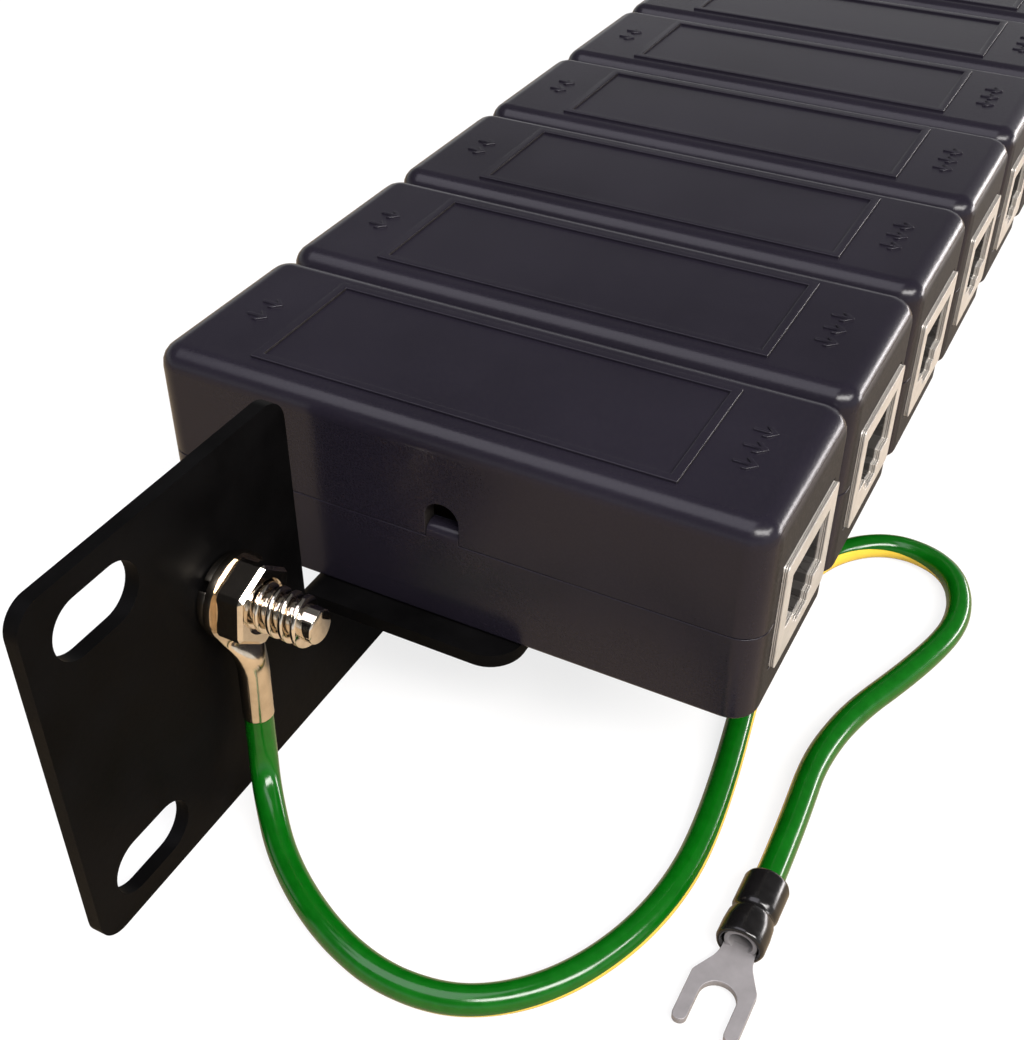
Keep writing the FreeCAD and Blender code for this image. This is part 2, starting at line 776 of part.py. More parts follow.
def fork_placement():
    """The fork points along the lead's last run, from the lead's end."""
    return Placement(Vector(*WIRE_ROUTE[-1]), Rotation(Vector(0, 0, 1), 180))


def make_fork():
    """Stamp the fork and roll its barrel; X runs out along the fork."""
    body = new_body("Fork")
    under = "-wire_diameter / 2"
    half = "fork_width / 2"
    slot = "fork_slot / 2"
    exposed = "sleeve_front_length"
    blade = new_sketch(body, "XY_Plane", under)
    add_polygon(blade, (
        (exposed, "-fork_neck / 2"), (f"{exposed} + fork_shoulder", f"-{half}"),
        (f"{exposed} + fork_length", f"-{half}"), (f"{exposed} + fork_length", f"-{slot}"),
        (f"{exposed} + fork_shoulder + fork_slot / 2", f"-{slot}"),
        (f"{exposed} + fork_shoulder + fork_slot / 2", slot),
        (f"{exposed} + fork_length", slot), (f"{exposed} + fork_length", half),
        (f"{exposed} + fork_shoulder", half), (exposed, "fork_neck / 2"),
    ))
    pad(body, blade, "tongue_thickness")
    root = new_sketch(body, "XY_Plane", under)
    add_circle(root, f"{exposed} + fork_shoulder + fork_slot / 2", "0", slot)
    pocket(body, root, "tongue_thickness", reverse=True)
    barrel = new_sketch(body, "YZ_Plane")
    add_circle(barrel, "0", "0", "wire_diameter / 2")
    pad(body, barrel, "sleeve_front_length + fork_barrel_reach")
    body.Placement = fork_placement()
    return keep(body, "fork_terminal")


def make_sleeve():
    """Mould the fork's insulating sleeve in two steps round one bore."""
    body = new_body("Sleeve")
    rear = new_sketch(body, "YZ_Plane", "-sleeve_rear_length")
    add_circle(rear, "0", "0", "sleeve_diameter / 2")
    add_circle(rear, "0", "0", "wire_diameter / 2 + wire_fit")
    pad(body, rear, "sleeve_rear_length")
    front = new_sketch(body, "YZ_Plane")
    add_circle(front, "0", "0", "sleeve_front_diameter / 2")
    add_circle(front, "0", "0", "wire_diameter / 2 + wire_fit")
    pad(body, front, "sleeve_front_length")
    ends = value("sleeve_rear_length"), value("sleeve_front_length")
    bore = value("wire_diameter / 2 + wire_fit")
    bevel_edges(body, "sleeve_edge", lambda edge: (
        isinstance(edge.Curve, Part.Circle) and edge.Curve.Radius > bore + TOLERANCE
        and (close(edge.BoundBox.XMax, -ends[0]) or close(edge.BoundBox.XMin, ends[1]))
    ))
    body.Placement = fork_placement()
    return keep(body, "fork_sleeve")


def solid_shape(item):
    """A sub-part's shape in the document's frame, links included."""
    return Part.getShape(item, "", needSubElement=False, transform=True)


def check_and_write():
    """Refuse any failed object or broken shape, then write every node."""
    for item in doc.Objects:
        if {"Invalid", "Error"} & set(item.State):
            raise RuntimeError(f"{item.Name} failed: {item.State}")
    for item in nodes:
        shape = solid_shape(item)
        if shape.isNull() or not shape.isValid() or not shape.Solids:
            raise RuntimeError(f"{item.Label} has no valid solid")
    os.makedirs("parts", exist_ok=True)
    for item in nodes:
        solid_shape(item).exportStep(f"parts/{item.Label}.step")
    print(len(nodes), "nodes written")


def main():
    fill_sheet()
    make_bracket()
    make_modules()
    make_stud()
    make_lock_washer()
    make_ring_terminal()
    make_nut()
    make_wire()
    make_sleeve()
    make_fork()
    doc.recompute()
    check_and_write()


main()
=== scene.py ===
"""Looks of a rack panel that carries sixteen network surge modules and a ground lead."""

import math

import bmesh
import bpy
from bpy.props import FloatProperty, FloatVectorProperty, IntProperty, PointerProperty
from bpy.types import Operator, Panel, PropertyGroup
from mathutils import Matrix, Vector


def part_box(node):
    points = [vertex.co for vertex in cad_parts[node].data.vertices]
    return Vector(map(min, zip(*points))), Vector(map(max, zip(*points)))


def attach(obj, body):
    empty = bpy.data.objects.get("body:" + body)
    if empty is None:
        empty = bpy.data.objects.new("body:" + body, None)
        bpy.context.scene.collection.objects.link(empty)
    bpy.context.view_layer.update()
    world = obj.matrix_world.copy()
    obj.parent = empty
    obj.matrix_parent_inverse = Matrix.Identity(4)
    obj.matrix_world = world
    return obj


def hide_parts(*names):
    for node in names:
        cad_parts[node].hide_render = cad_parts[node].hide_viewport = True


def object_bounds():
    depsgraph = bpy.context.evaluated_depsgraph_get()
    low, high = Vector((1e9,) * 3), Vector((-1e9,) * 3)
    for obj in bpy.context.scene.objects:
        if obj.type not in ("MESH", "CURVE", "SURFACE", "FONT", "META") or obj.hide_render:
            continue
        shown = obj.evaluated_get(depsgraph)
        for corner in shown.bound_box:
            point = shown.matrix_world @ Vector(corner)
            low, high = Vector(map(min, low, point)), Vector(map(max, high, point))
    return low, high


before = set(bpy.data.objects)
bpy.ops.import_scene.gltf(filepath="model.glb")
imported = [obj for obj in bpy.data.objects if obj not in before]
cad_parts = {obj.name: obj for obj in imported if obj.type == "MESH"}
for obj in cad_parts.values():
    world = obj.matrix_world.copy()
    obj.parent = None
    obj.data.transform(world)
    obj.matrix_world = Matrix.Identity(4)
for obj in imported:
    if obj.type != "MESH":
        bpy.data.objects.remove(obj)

bl_info = {
    "name": "Rack surge panel",
    "version": (1, 0, 0),
    "blender": (4, 5, 0),
    "location": "View3D > Sidebar > Surge panel",
    "description": "Dresses a rack panel of sixteen network surge modules",
    "category": "Add Mesh",
}

CAD_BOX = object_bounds()
MODULE_NUMBERS = range(1, 17)
COVER_LOW, COVER_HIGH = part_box("module_cover_01")
BASE_LOW, BASE_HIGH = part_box("module_base_01")
NUT_LOW, NUT_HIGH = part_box("stud_nut")
WASHER_LOW, WASHER_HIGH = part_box("lock_washer")
MIDDLE_X = (BASE_LOW.x + BASE_HIGH.x) / 2
STUD_X, STUD_Z = (NUT_LOW.x + NUT_HIGH.x) / 2, (NUT_LOW.z + NUT_HIGH.z) / 2
BARREL_END = (-0.217276, -0.00435, -0.009555)

# Small distances in metres that several shapes share: how far a cutter reaches past what it cuts,
# the play round a jack, half the seam between two shells, the radius of the corners inside them,
# and how deep raised details are rooted.
THROUGH = 0.001
JACK_PLAY = 0.00006
HALF_SEAM = 0.00004
ROOM_CORNER = 0.001
ROOTED = 0.0002
# The panel's thickness, and the place of the flange screws from the equipment end, in metres.
SHEET = 0.0016
SCREW_PLACE = 0.0356
# Start, end and inset of the layers that a jack's frame is built from, in metres.
FRAME_LAYERS = ((0.0, 0.00019, 0.0), (0.00024, 0.00037, 0.00003), (0.00042, 0.0019, 0.0))

# Control points of the ground lead in metres, from the crimp to the fork's sleeve.
LEAD_POINTS = [
    (-0.21728, -0.00435, -0.00956),
    (-0.21747, -0.00435, -0.01405),
    (-0.21990, -0.00620, -0.01840),
    (-0.22555, -0.01197, -0.02028),
    (-0.23064, -0.02065, -0.02028),
    (-0.23275, -0.02916, -0.02028),
    (-0.23097, -0.03759, -0.02028),
    (-0.22408, -0.04460, -0.02028),
    (-0.21295, -0.04894, -0.02028),
    (-0.20014, -0.04940, -0.02028),
    (-0.17444, -0.04510, -0.02028),
    (-0.16181, -0.04410, -0.02028),
    (-0.15083, -0.04629, -0.02028),
    (-0.14417, -0.05326, -0.02028),
    (-0.14595, -0.06184, -0.02028),
    (-0.15443, -0.06531, -0.02028),
    (-0.16426, -0.06339, -0.02028),
    (-0.18212, -0.05600, -0.02028),
    (-0.19959, -0.05732, -0.01940),
    (-0.21000, -0.05740, -0.01933),
]
# How the lead is twisted at each of those points, in degrees.
LEAD_TWIST = [28, 28, 28, 28, 28, 14, -3, -20, -32, -36, -46, -66, -62, -28, -2, 15, -10, -38,
              -50, -50]


# Properties

def length(name, description, default):
    """A size in metres that a user may change."""
    return FloatProperty(name=name, description=description, default=default,
                         min=0.0, precision=5, unit="LENGTH", subtype="DISTANCE")


def colour(name, description, default):
    """A colour that a user may change."""
    return FloatVectorProperty(name=name, description=description, default=default,
                               min=0.0, max=1.0, size=3, subtype="COLOR")


class ModuleSizes(PropertyGroup):
    """Sizes of one moulded module."""

    pitch: length("Pitch", "Distance from one module to the next", 0.0251)
    corner: length("Corner", "Radius of the four upright corners", 0.003)
    top_edge: length("Top edge", "Radius round the top", 0.0025)
    foot_edge: length("Foot edge", "Radius round the underside", 0.0005)
    crisp_edge: length("Crisp edge", "Rounding of every other edge", 0.0001)
    wall: length("Wall", "Thickness of the shells", 0.002)
    overlap: length("End reach", "How far the shells reach past the solids at each end", 0.0006)
    bead_height: length("Bead height", "How far the label frame stands up", 0.0003)
    bead_width: length("Bead width", "Width of the label frame's bead", 0.001)
    label_width: length("Label width", "Outer width of the label frame", 0.0179)
    label_length: length("Label length", "Outer length of the label frame", 0.0481)
    label_start: length("Label start", "From the equipment end to the label frame", 0.0103)
    notch_place: length("Notch place", "From the equipment end to the cable notch", 0.0338)
    notch_width: length("Notch width", "Width of the cable notch", 0.0039)
    notch_height: length("Notch height", "Height of the cable notch", 0.0046)
    notch_tongue: length("Notch tongue", "How far the base reaches up into the notch", 0.0015)
    mark_length: length("Mark length", "Length of one flow arrow", 0.0026)
    mark_width: length("Mark width", "Width of an arrow's head", 0.0019)
    mark_stroke: length("Mark stroke", "Width of an arrow's strokes", 0.00042)
    mark_height: length("Mark height", "How far an arrow stands up", 0.00022)


class JackSizes(PropertyGroup):
    """Sizes of one socketed jack."""

    width: length("Width", "Width of the jack's frame", 0.0159)
    height: length("Height", "Height of the jack's frame", 0.0131)
    lift: length("Lift", "From the module's underside to the frame", 0.0043)
    stand_out: length("Stand out", "How far the frame stands out of the module", 0.0011)
    depth: length("Depth", "Depth of the jack", 0.0166)
    socket_width: length("Socket width", "Width of the socket", 0.0118)
    socket_height: length("Socket height", "Height of the socket", 0.0069)
    socket_depth: length("Socket depth", "Depth of the socket", 0.0130)
    top_margin: length("Top margin", "Frame above the socket", 0.0023)
    latch_width: length("Latch width", "Width of the latch pocket", 0.0063)
    latch_height: length("Latch height", "Height of the latch pocket", 0.0024)
    contact_pitch: length("Contact pitch", "Distance between two contacts", 0.00102)
    contact_diameter: length("Contact diameter", "Thickness of a contact", 0.00045)
    contacts: IntProperty(name="Contacts", description="Contacts in a jack", default=8, min=1)


class StudSizes(PropertyGroup):
    """Sizes of the ground stud and what is bolted on it."""

    crest: length("Crest", "Radius of the thread's crests", 0.00258)
    root: length("Root", "Radius of the thread's roots and of the plain tip", 0.00182)
    pitch: length("Pitch", "Pitch of the thread", 0.00143)
    plain_tip: length("Plain tip", "From the end of the thread to the tip", 0.0011)
    thread_end: FloatProperty(name="Thread end", description="Where round the stud the thread ends",
                              default=math.radians(319), subtype="ANGLE", unit="ROTATION")
    reach: length("Reach", "From the panel's front face to the tip", 0.0116)
    head: length("Head", "Radius of the pressed head behind the panel", 0.0037)
    head_height: length("Head height", "Height of the pressed head", 0.0008)
    nut_edge: length("Nut edge", "Width of the nut's chamfers", 0.00038)
    nut_turn: FloatProperty(name="Nut turn", description="How far the nut is turned on the stud",
                            default=math.radians(20), subtype="ANGLE", unit="ROTATION")
    washer_split: FloatProperty(name="Washer split", description="Where the washer is split",
                                default=math.radians(135), subtype="ANGLE", unit="ROTATION")
    ring: length("Ring", "Radius of the ring tongue", 0.00465)
    tongue: length("Tongue", "Thickness of the ring tongue", 0.0008)
    barrel: length("Barrel", "Radius of the crimped barrel", 0.00165)


class LeadSizes(PropertyGroup):
    """Sizes of the ground lead and the fork on its end."""

    diameter: length("Diameter", "Diameter of the lead", 0.0031)
    stripe_turn: FloatProperty(name="Stripe turn", description="Further turn of the stripe",
                               default=0.0, subtype="ANGLE", unit="ROTATION")
    sleeve_start: length("Sleeve radius", "Radius of the sleeve's cord end", 0.0024)
    sleeve_mouth: length("Mouth radius", "Radius of the sleeve's mouth", 0.0025)
    fork_width: length("Fork width", "Width over the fork's tines", 0.0066)
    fork_slot: length("Fork slot", "Width of the fork's slot", 0.0037)
    fork_length: length("Fork length", "Length of the fork's blade", 0.0094)
    fork_shoulder: length("Fork shoulder", "From the sleeve to the shoulders", 0.0036)
    fork_neck: length("Fork neck", "Width of the fork's neck", 0.0034)
    fork_thickness: length("Fork thickness", "Thickness of the blade", 0.0008)


class FinishColours(PropertyGroup):
    """Colours of the finishes."""

    panel: colour("Panel paint", "Powder coat of the folded panel", (0.0022, 0.0021, 0.0022))
    module: colour("Module plastic", "Moulded plastic of the modules", (0.0092, 0.0078, 0.0126))
    jack_frame: colour("Jack frame", "Plated frame round each socket", (0.56, 0.53, 0.49))
    jack_inside: colour("Jack inside", "Plastic inside the sockets", (0.030, 0.028, 0.026))
    contact: colour("Contacts", "Plated contacts", (0.62, 0.48, 0.26))
    steel: colour("Bright steel", "Stud, nut and washer", (0.76, 0.69, 0.60))
    tin: colour("Tinned copper", "Ring terminal", (0.76, 0.66, 0.53))
    green: colour("Green", "Lead insulation", (0.0012, 0.072, 0.0025))
    yellow: colour("Yellow", "Stripe along the lead", (0.70, 0.48, 0.05))
    sleeve: colour("Sleeve", "Vinyl sleeve of the fork", (0.0045, 0.0042, 0.0042))
    fork: colour("Fork", "Dull plated fork", (0.25, 0.238, 0.24))
    board: colour("Board", "Circuit boards", (0.010, 0.085, 0.030))
    arrester: colour("Arresters", "Surge arresters", (0.42, 0.30, 0.18))
    brass: colour("Brass", "Ground inserts", (0.62, 0.44, 0.16))


class StageSettings(PropertyGroup):
    """Floor, lamps and camera."""

    floor: colour("Floor", "Pale floor as the camera sees it", (0.93, 0.92, 0.91))
    bounce: colour("Bounce", "Floor as the object reflects it", (0.40, 0.30, 0.185))
    sky: FloatProperty(name="Sky", description="Strength of the soft light all round",
                       default=0.34, min=0.0)
    ceiling: FloatProperty(name="Ceiling", description="Strength of the dim ceiling in reflections",
                           default=0.12, min=0.0)
    lens: FloatProperty(name="Lens", description="Focal length of the camera",
                        default=48.42, min=1.0, unit="CAMERA")


# Shader nodes

class Value:
    """A node's output that can be used in sums."""

    def __init__(self, finish, socket):
        self.finish = finish
        self.socket = socket

    def worked(self, operation, first, second):
        return self.finish.node("ShaderNodeMath", {"operation": operation}, {0: first, 1: second})

    def __add__(self, other):
        return self.worked("ADD", self, other)

    def __radd__(self, other):
        return self.worked("ADD", other, self)

    def __sub__(self, other):
        return self.worked("SUBTRACT", self, other)

    def __rsub__(self, other):
        return self.worked("SUBTRACT", other, self)

    def __mul__(self, other):
        return self.worked("MULTIPLY", self, other)

    def __rmul__(self, other):
        return self.worked("MULTIPLY", other, self)

    def __pow__(self, other):
        return self.worked("POWER", self, other)


class NodeWork:
    """A node tree and the ways to add nodes to it."""

    def __init__(self, tree):
        self.tree = tree

    def node(self, kind, settings, inputs, output=0):
        """Add a node, set it up, then fill or link its inputs."""
        made = self.tree.nodes.new(kind)
        for key, value in settings.items():
            setattr(made, key, value)
        for key, value in inputs.items():
            self.feed(made.inputs[key], value)
        return Value(self, made.outputs[output])

    def feed(self, socket, value):
        """Link a value to a socket, or set the socket."""
        if isinstance(value, Value):
            self.tree.links.new(value.socket, socket)
        else:
            socket.default_value = value

    def rays(self, kind):
        """Whether a ray of light is of one kind."""
        return self.node("ShaderNodeLightPath", {}, {}, kind)

    def ramp(self, value, low, high, start=0.0, end=1.0):
        """A value between two limits spread from start to end."""
        return self.node("ShaderNodeMapRange", {"clamp": True}, {
            "Value": value, "From Min": low, "From Max": high,
            "To Min": start, "To Max": end})

    def blend(self, mask, first, second):
        """A colour between two others."""
        made = self.tree.nodes.new("ShaderNodeMix")
        made.data_type = "RGBA"
        for key, value in ((0, mask), (6, first), (7, second)):
            if isinstance(value, tuple) and len(value) == 3:
                value = (*value, 1.0)
            self.feed(made.inputs[key], value)
        return Value(self, made.outputs[2])


class Finish(NodeWork):
    """One procedural material and its surface shader."""

    def __init__(self, name):
        self.material = bpy.data.materials.new(name)
        self.material.use_nodes = True
        super().__init__(self.material.node_tree)
        self.shader = self.tree.nodes["Principled BSDF"]
        self.output = self.tree.nodes["Material Output"]

    def set(self, **values):
        """Fill sockets of the surface shader, with underscores for spaces."""
        for key, value in values.items():
            if isinstance(value, tuple) and len(value) == 3:
                value = (*value, 1.0)
            self.feed(self.shader.inputs[key.replace("_", " ")], value)

    def place(self):
        return self.node("ShaderNodeTexCoord", {}, {}, "Object")

    def facing(self, axis):
        """How far the surface faces along one axis of the object."""
        normal = self.node("ShaderNodeTexCoord", {}, {}, "Normal")
        return self.node("ShaderNodeSeparateXYZ", {}, {0: normal}, axis)

    def stretched(self, scale):
        """Object coordinates with one scale for each axis."""
        return self.node("ShaderNodeVectorMath", {"operation": "MULTIPLY"},
                         {0: self.place(), 1: scale})

    def noise(self, scale, detail=2.0, roughness=0.5, vector=None):
        return self.node("ShaderNodeTexNoise", {}, {
            "Vector": vector or self.place(), "Scale": scale,
            "Detail": detail, "Roughness": roughness})

    def bump(self, height, distance, strength=1.0):
        return self.node("ShaderNodeBump", {}, {
            "Height": height, "Distance": distance, "Strength": strength})


def shade(tint, amount):
    """A colour made darker or lighter."""
    return tuple(min(1.0, part * amount) for part in tint)


def powder_coat(colours):
    """Black powder coat: low orange peel under a soft gloss."""
    paint = Finish("panel_powder_coat")
    peel = paint.noise(1100, 3, 0.45)
    dust = paint.ramp(paint.noise(160, 4, 0.6), 0.35, 0.75)
    tint = paint.blend(dust, shade(colours.panel, 0.6), shade(colours.panel, 1.2))
    paint.set(Base_Color=tint, Roughness=paint.ramp(dust, 0, 1, 0.42, 0.54),
              Normal=paint.bump(peel, 0.00005, 0.35), Specular_IOR_Level=0.03)
    return paint.material


def moulded_plastic(colours):
    """Dark moulded plastic with a spark-eroded grain, coarser on the end walls. Pale flecks of
    painted glint lie over it, strongest on the end walls, which are also painted darker brown as
    shade.
    """
    plastic = Finish("module_plastic")
    cloud = plastic.noise(45, 3, 0.55)
    grain = plastic.noise(2600, 3, 0.6)
    # Painted glints: pale flecks mixed into the base colour, strongest on the end walls.
    glint_flecks = plastic.ramp(plastic.noise(3600, 1, 0.5), 0.45, 0.75)
    ends = plastic.ramp(plastic.facing(1) ** 2, 0.80, 0.96)
    tint = plastic.blend(plastic.ramp(cloud, 0.3, 0.7),
                         shade(colours.module, 0.86), shade(colours.module, 1.12))
    # Painted shade: the end walls get a darker, browner base colour than the rest of the shell.
    shaded_ends = plastic.blend(ends, tint, (0.0065, 0.0048, 0.0040))
    glint_flecked = plastic.blend(glint_flecks * (0.05 + 0.25 * ends), shaded_ends, (0.050, 0.043, 0.042))
    rough = plastic.ramp(cloud, 0.3, 0.7, 0.19, 0.24) + 0.04 * grain + 0.48 * ends
    plastic.set(Base_Color=glint_flecked, Roughness=rough, Specular_IOR_Level=0.24,
                Normal=plastic.bump(grain * (0.6 + 0.7 * ends), 0.00004, 0.5))
    return plastic.material


def polished_steel(colours):
    """Bright plated steel with fine turning lines and small rubs."""
    steel = Finish("bright_steel")
    lines = steel.noise(1, 2, 0.5, steel.stretched((700, 7000, 700)))
    rubs = steel.ramp(steel.noise(900, 4, 0.65), 0.45, 0.75)
    tint = steel.blend(rubs, colours.steel[:], shade(colours.steel, 0.82))
    steel.set(Base_Color=tint, Metallic=1.0,
              Roughness=steel.ramp(lines, 0.3, 0.7, 0.05, 0.09) + 0.05 * rubs,
              Normal=steel.bump(lines, 0.00001, 0.12))
    return steel.material


def striped_insulation(colours):
    """Glossy green insulation with a yellow stripe along it."""
    skin = Finish("lead_insulation")
    around = skin.node("ShaderNodeTexCoord", {}, {}, "UV")
    turn = skin.node("ShaderNodeSeparateXYZ", {}, {0: around}, 1)
    off_centre = skin.node("ShaderNodeMath", {"operation": "ABSOLUTE"}, {0: turn - 0.5})
    wander = 0.012 * skin.noise(260, 2, 0.5)
    stripe = skin.ramp(off_centre + wander, 0.125, 0.133, 1.0, 0.0)
    mottle = skin.ramp(skin.noise(700, 3, 0.6), 0.3, 0.7)
    green = skin.blend(mottle, shade(colours.green, 0.88), shade(colours.green, 1.1))
    yellow = skin.blend(mottle, shade(colours.yellow, 0.94), colours.yellow[:])
    ripple = skin.noise(520, 2, 0.5)
    skin.set(Base_Color=skin.blend(stripe, green, yellow),
             Roughness=skin.ramp(mottle, 0, 1, 0.14, 0.20), Specular_IOR_Level=0.42,
             Normal=skin.bump(ripple, 0.00003, 0.3))
    return skin.material


def grained(name, tint, grain, shades, rough, stretch=None, stain=None, bump=None, **uniform):
    """A finish whose grain sets how rough it is and, where it has no stain, its tint.

    grain is a noise's scale, detail and roughness. stain is the same with the limits of its ramp.
    """
    made = Finish(name)
    pattern = made.noise(*grain, made.stretched(stretch) if stretch else None)
    mask = made.ramp(made.noise(*stain[:3]), *stain[3:]) if stain else pattern
    first, second = (shade(tint, amount) for amount in shades)
    made.set(Base_Color=made.blend(mask, first, second),
             Roughness=made.ramp(pattern, 0.3, 0.7, *rough), **uniform)
    if bump:
        made.set(Normal=made.bump(pattern, *bump))
    return made.material


FINISHES = {
    "panel_paint": powder_coat,
    "module_plastic": moulded_plastic,
    "bright_steel": polished_steel,
    "lead_insulation": striped_insulation,
}
# Material, colour and look of each plainer finish: drawn nickel plate, plastic with flow marks,
# contact wire, tin streaked along the crimp, squeezed vinyl, rolled steel, solder mask over woven
# glass, fired ceramic, and cast brass.
GRAINED = {
    "shield_metal": ("jack_frame_plate", "jack_frame", dict(
        grain=(1, 3, 0.6), stretch=(260, 260, 4200), stain=(420, 3, 0.6, 0.35, 0.7),
        shades=(1.0, 0.84), rough=(0.30, 0.44), bump=(0.00002, 0.3), Metallic=0.55)),
    "jack_plastic": ("jack_plastic", "jack_inside", dict(
        grain=(1, 3, 0.5), stretch=(900, 300, 900), shades=(0.7, 1.5), rough=(0.22, 0.36),
        bump=(0.00002, 0.4))),
    "contact_metal": ("contact_plate", "contact", dict(
        grain=(1, 2, 0.5), stretch=(6000, 400, 400), shades=(1.0, 0.7), rough=(0.18, 0.34),
        Metallic=1.0)),
    "tinned_copper": ("tinned_copper", "tin", dict(
        grain=(1, 3, 0.55), stretch=(2600, 2600, 240), stain=(500, 3, 0.6, 0.4, 0.75),
        shades=(1.0, 0.78), rough=(0.10, 0.18), bump=(0.00002, 0.2), Metallic=1.0)),
    "sleeve_vinyl": ("sleeve_vinyl", "sleeve", dict(
        grain=(1, 3, 0.5), stretch=(1500, 700, 700), shades=(0.7, 1.6), rough=(0.16, 0.25),
        bump=(0.00004, 0.3), Specular_IOR_Level=0.4)),
    "fork_steel": ("fork_steel", "fork", dict(
        grain=(1, 3, 0.6), stretch=(500, 4200, 500), stain=(380, 3, 0.6, 0.35, 0.75),
        shades=(1.0, 0.8), rough=(0.36, 0.50), bump=(0.00002, 0.3), Metallic=0.3)),
    "board": ("circuit_board", "board", dict(
        grain=(1, 2, 0.5), stretch=(2400, 900, 900), shades=(0.8, 1.25), rough=(0.28, 0.42),
        bump=(0.00003, 0.4))),
    "arrester_body": ("arrester_body", "arrester", dict(
        grain=(1500, 3, 0.6), shades=(0.85, 1.1), rough=(0.35, 0.5))),
    "brass_insert": ("brass_insert", "brass", dict(
        grain=(800, 3, 0.6), shades=(1.0, 0.75), rough=(0.25, 0.42), Metallic=1.0)),
}
MADE_FINISHES = {}


def finish_for(slot):
    """The material of one finish, made when it is first asked for."""
    if slot not in MADE_FINISHES:
        colours = bpy.context.scene.finish_colours
        if slot in GRAINED:
            name, tint, look = GRAINED[slot]
            MADE_FINISHES[slot] = grained(name, getattr(colours, tint), **look)
        else:
            MADE_FINISHES[slot] = FINISHES[slot](colours)
    return MADE_FINISHES[slot]


# Mesh helpers

def block(low, high):
    """A box between two corners."""
    low, high = Vector(low), Vector(high)
    bm = bmesh.new()
    bmesh.ops.create_cube(bm, size=1.0)
    bmesh.ops.scale(bm, vec=high - low, verts=bm.verts)
    bmesh.ops.translate(bm, vec=(low + high) / 2, verts=bm.verts)
    return bm


def rod(radius, start, end, sides=32):
    """A capped cylinder from one point to another."""
    start, end = Vector(start), Vector(end)
    run = end - start
    bm = bmesh.new()
    bmesh.ops.create_cone(bm, cap_ends=True, segments=sides, radius1=radius,
                          radius2=radius, depth=run.length)
    turn = run.to_track_quat("Z", "Y").to_matrix().to_4x4()
    bmesh.ops.transform(bm, matrix=Matrix.Translation((start + end) / 2) @ turn, verts=bm.verts)
    return bm


def turned(profile, start, direction, sides=48):
    """A solid turned round an axis, from (place along it, radius) pairs."""
    bm = bmesh.new()
    points = [bm.verts.new((radius, 0, along)) for along, radius in profile]
    edges = [bm.edges.new(pair) for pair in zip(points, points[1:])]
    bmesh.ops.spin(bm, geom=points + edges, cent=(0, 0, 0), axis=(0, 0, 1),
                   angle=math.tau, steps=sides, use_merge=True)
    bmesh.ops.remove_doubles(bm, verts=bm.verts, dist=1e-7)
    turn = Vector(direction).to_track_quat("Z", "Y").to_matrix().to_4x4()
    bmesh.ops.transform(bm, matrix=Matrix.Translation(start) @ turn, verts=bm.verts)
    bmesh.ops.recalc_face_normals(bm, faces=bm.faces)
    return bm


def give_height(bm, height):
    """Turn a flat mesh into one with upright walls."""
    lifted = bmesh.ops.extrude_face_region(bm, geom=bm.faces[:])
    points = [part for part in lifted["geom"] if isinstance(part, bmesh.types.BMVert)]
    bmesh.ops.translate(bm, vec=(0, 0, height), verts=points)
    bmesh.ops.recalc_face_normals(bm, faces=bm.faces)
    return bm


def plate(outline, low, high, radii=()):
    """An upright-walled plate from its outline, with some of its corners rounded.

    radii holds (corner number, radius) pairs, and corners are rounded before it gets its height.
    """
    bm = bmesh.new()
    corners = [bm.verts.new((x, y, low)) for x, y in outline]
    bm.faces.new(corners)
    for number, radius in radii:
        bmesh.ops.bevel(bm, geom=[corners[number]], offset=radius, segments=8, profile=0.5,
                        affect="VERTICES", material=-1)
    return give_height(bm, high - low)


def round_edges(bm, edges, radius, segments):
    """Round some edges of a mesh."""
    bmesh.ops.bevel(bm, geom=edges, offset=radius, segments=segments, profile=0.5,
                    affect="EDGES", material=-1)


def edges_along(bm, axis):
    """The edges that run along one axis."""
    return [edge for edge in bm.edges
            if abs((edge.verts[0].co - edge.verts[1].co).normalized()[axis]) > 0.999]


def joined(bm, *others):
    """One mesh that holds several, which are used up."""
    for other in others:
        mesh = bpy.data.meshes.new("joined")
        other.to_mesh(mesh)
        other.free()
        bm.from_mesh(mesh)
        bpy.data.meshes.remove(mesh)
    return bm


def bench_object(bm):
    """A passing object that holds a mesh while a modifier works on it."""
    mesh = bpy.data.meshes.new("bench")
    bm.to_mesh(mesh)
    bm.free()
    held = bpy.data.objects.new("bench", mesh)
    bpy.context.scene.collection.objects.link(held)
    return held


def off_the_bench(held, *tools):
    """The mesh of a bench object after its modifiers. The bench objects are removed."""
    view = bpy.context.evaluated_depsgraph_get()
    mesh = bpy.data.meshes.new_from_object(held.evaluated_get(view))
    bm = bmesh.new()
    bm.from_mesh(mesh)
    bpy.data.meshes.remove(mesh)
    for used in (held, *tools):
        old = used.data
        bpy.data.objects.remove(used)
        bpy.data.meshes.remove(old)
    return bm


def cut(bm, *cutters, operation="DIFFERENCE"):
    """A solid with the cutters taken away from it."""
    body = bench_object(bm)
    tools = [bench_object(cutter) for cutter in cutters]
    for tool in tools:
        modifier = body.modifiers.new("Cut", "BOOLEAN")
        modifier.operation = operation
        modifier.solver = "EXACT"
        modifier.object = tool
    return off_the_bench(body, *tools)


def copied(bm, matrix):
    """A moved copy of a mesh. Its faces are turned round if the move mirrors it."""
    twin = bm.copy()
    bmesh.ops.transform(twin, matrix=matrix, verts=twin.verts)
    if matrix.determinant() < 0:
        bmesh.ops.reverse_faces(twin, faces=twin.faces)
    return twin


def node_copy(node):
    """A merged copy of a CAD node's triangles, with its flat areas made whole."""
    bm = bmesh.new()
    bm.from_mesh(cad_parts[node].data)
    bmesh.ops.remove_doubles(bm, verts=bm.verts, dist=1e-6)
    bmesh.ops.dissolve_limit(bm, angle_limit=math.radians(0.5), verts=bm.verts,
                             edges=bm.edges, delimit={"NORMAL"})
    return bm


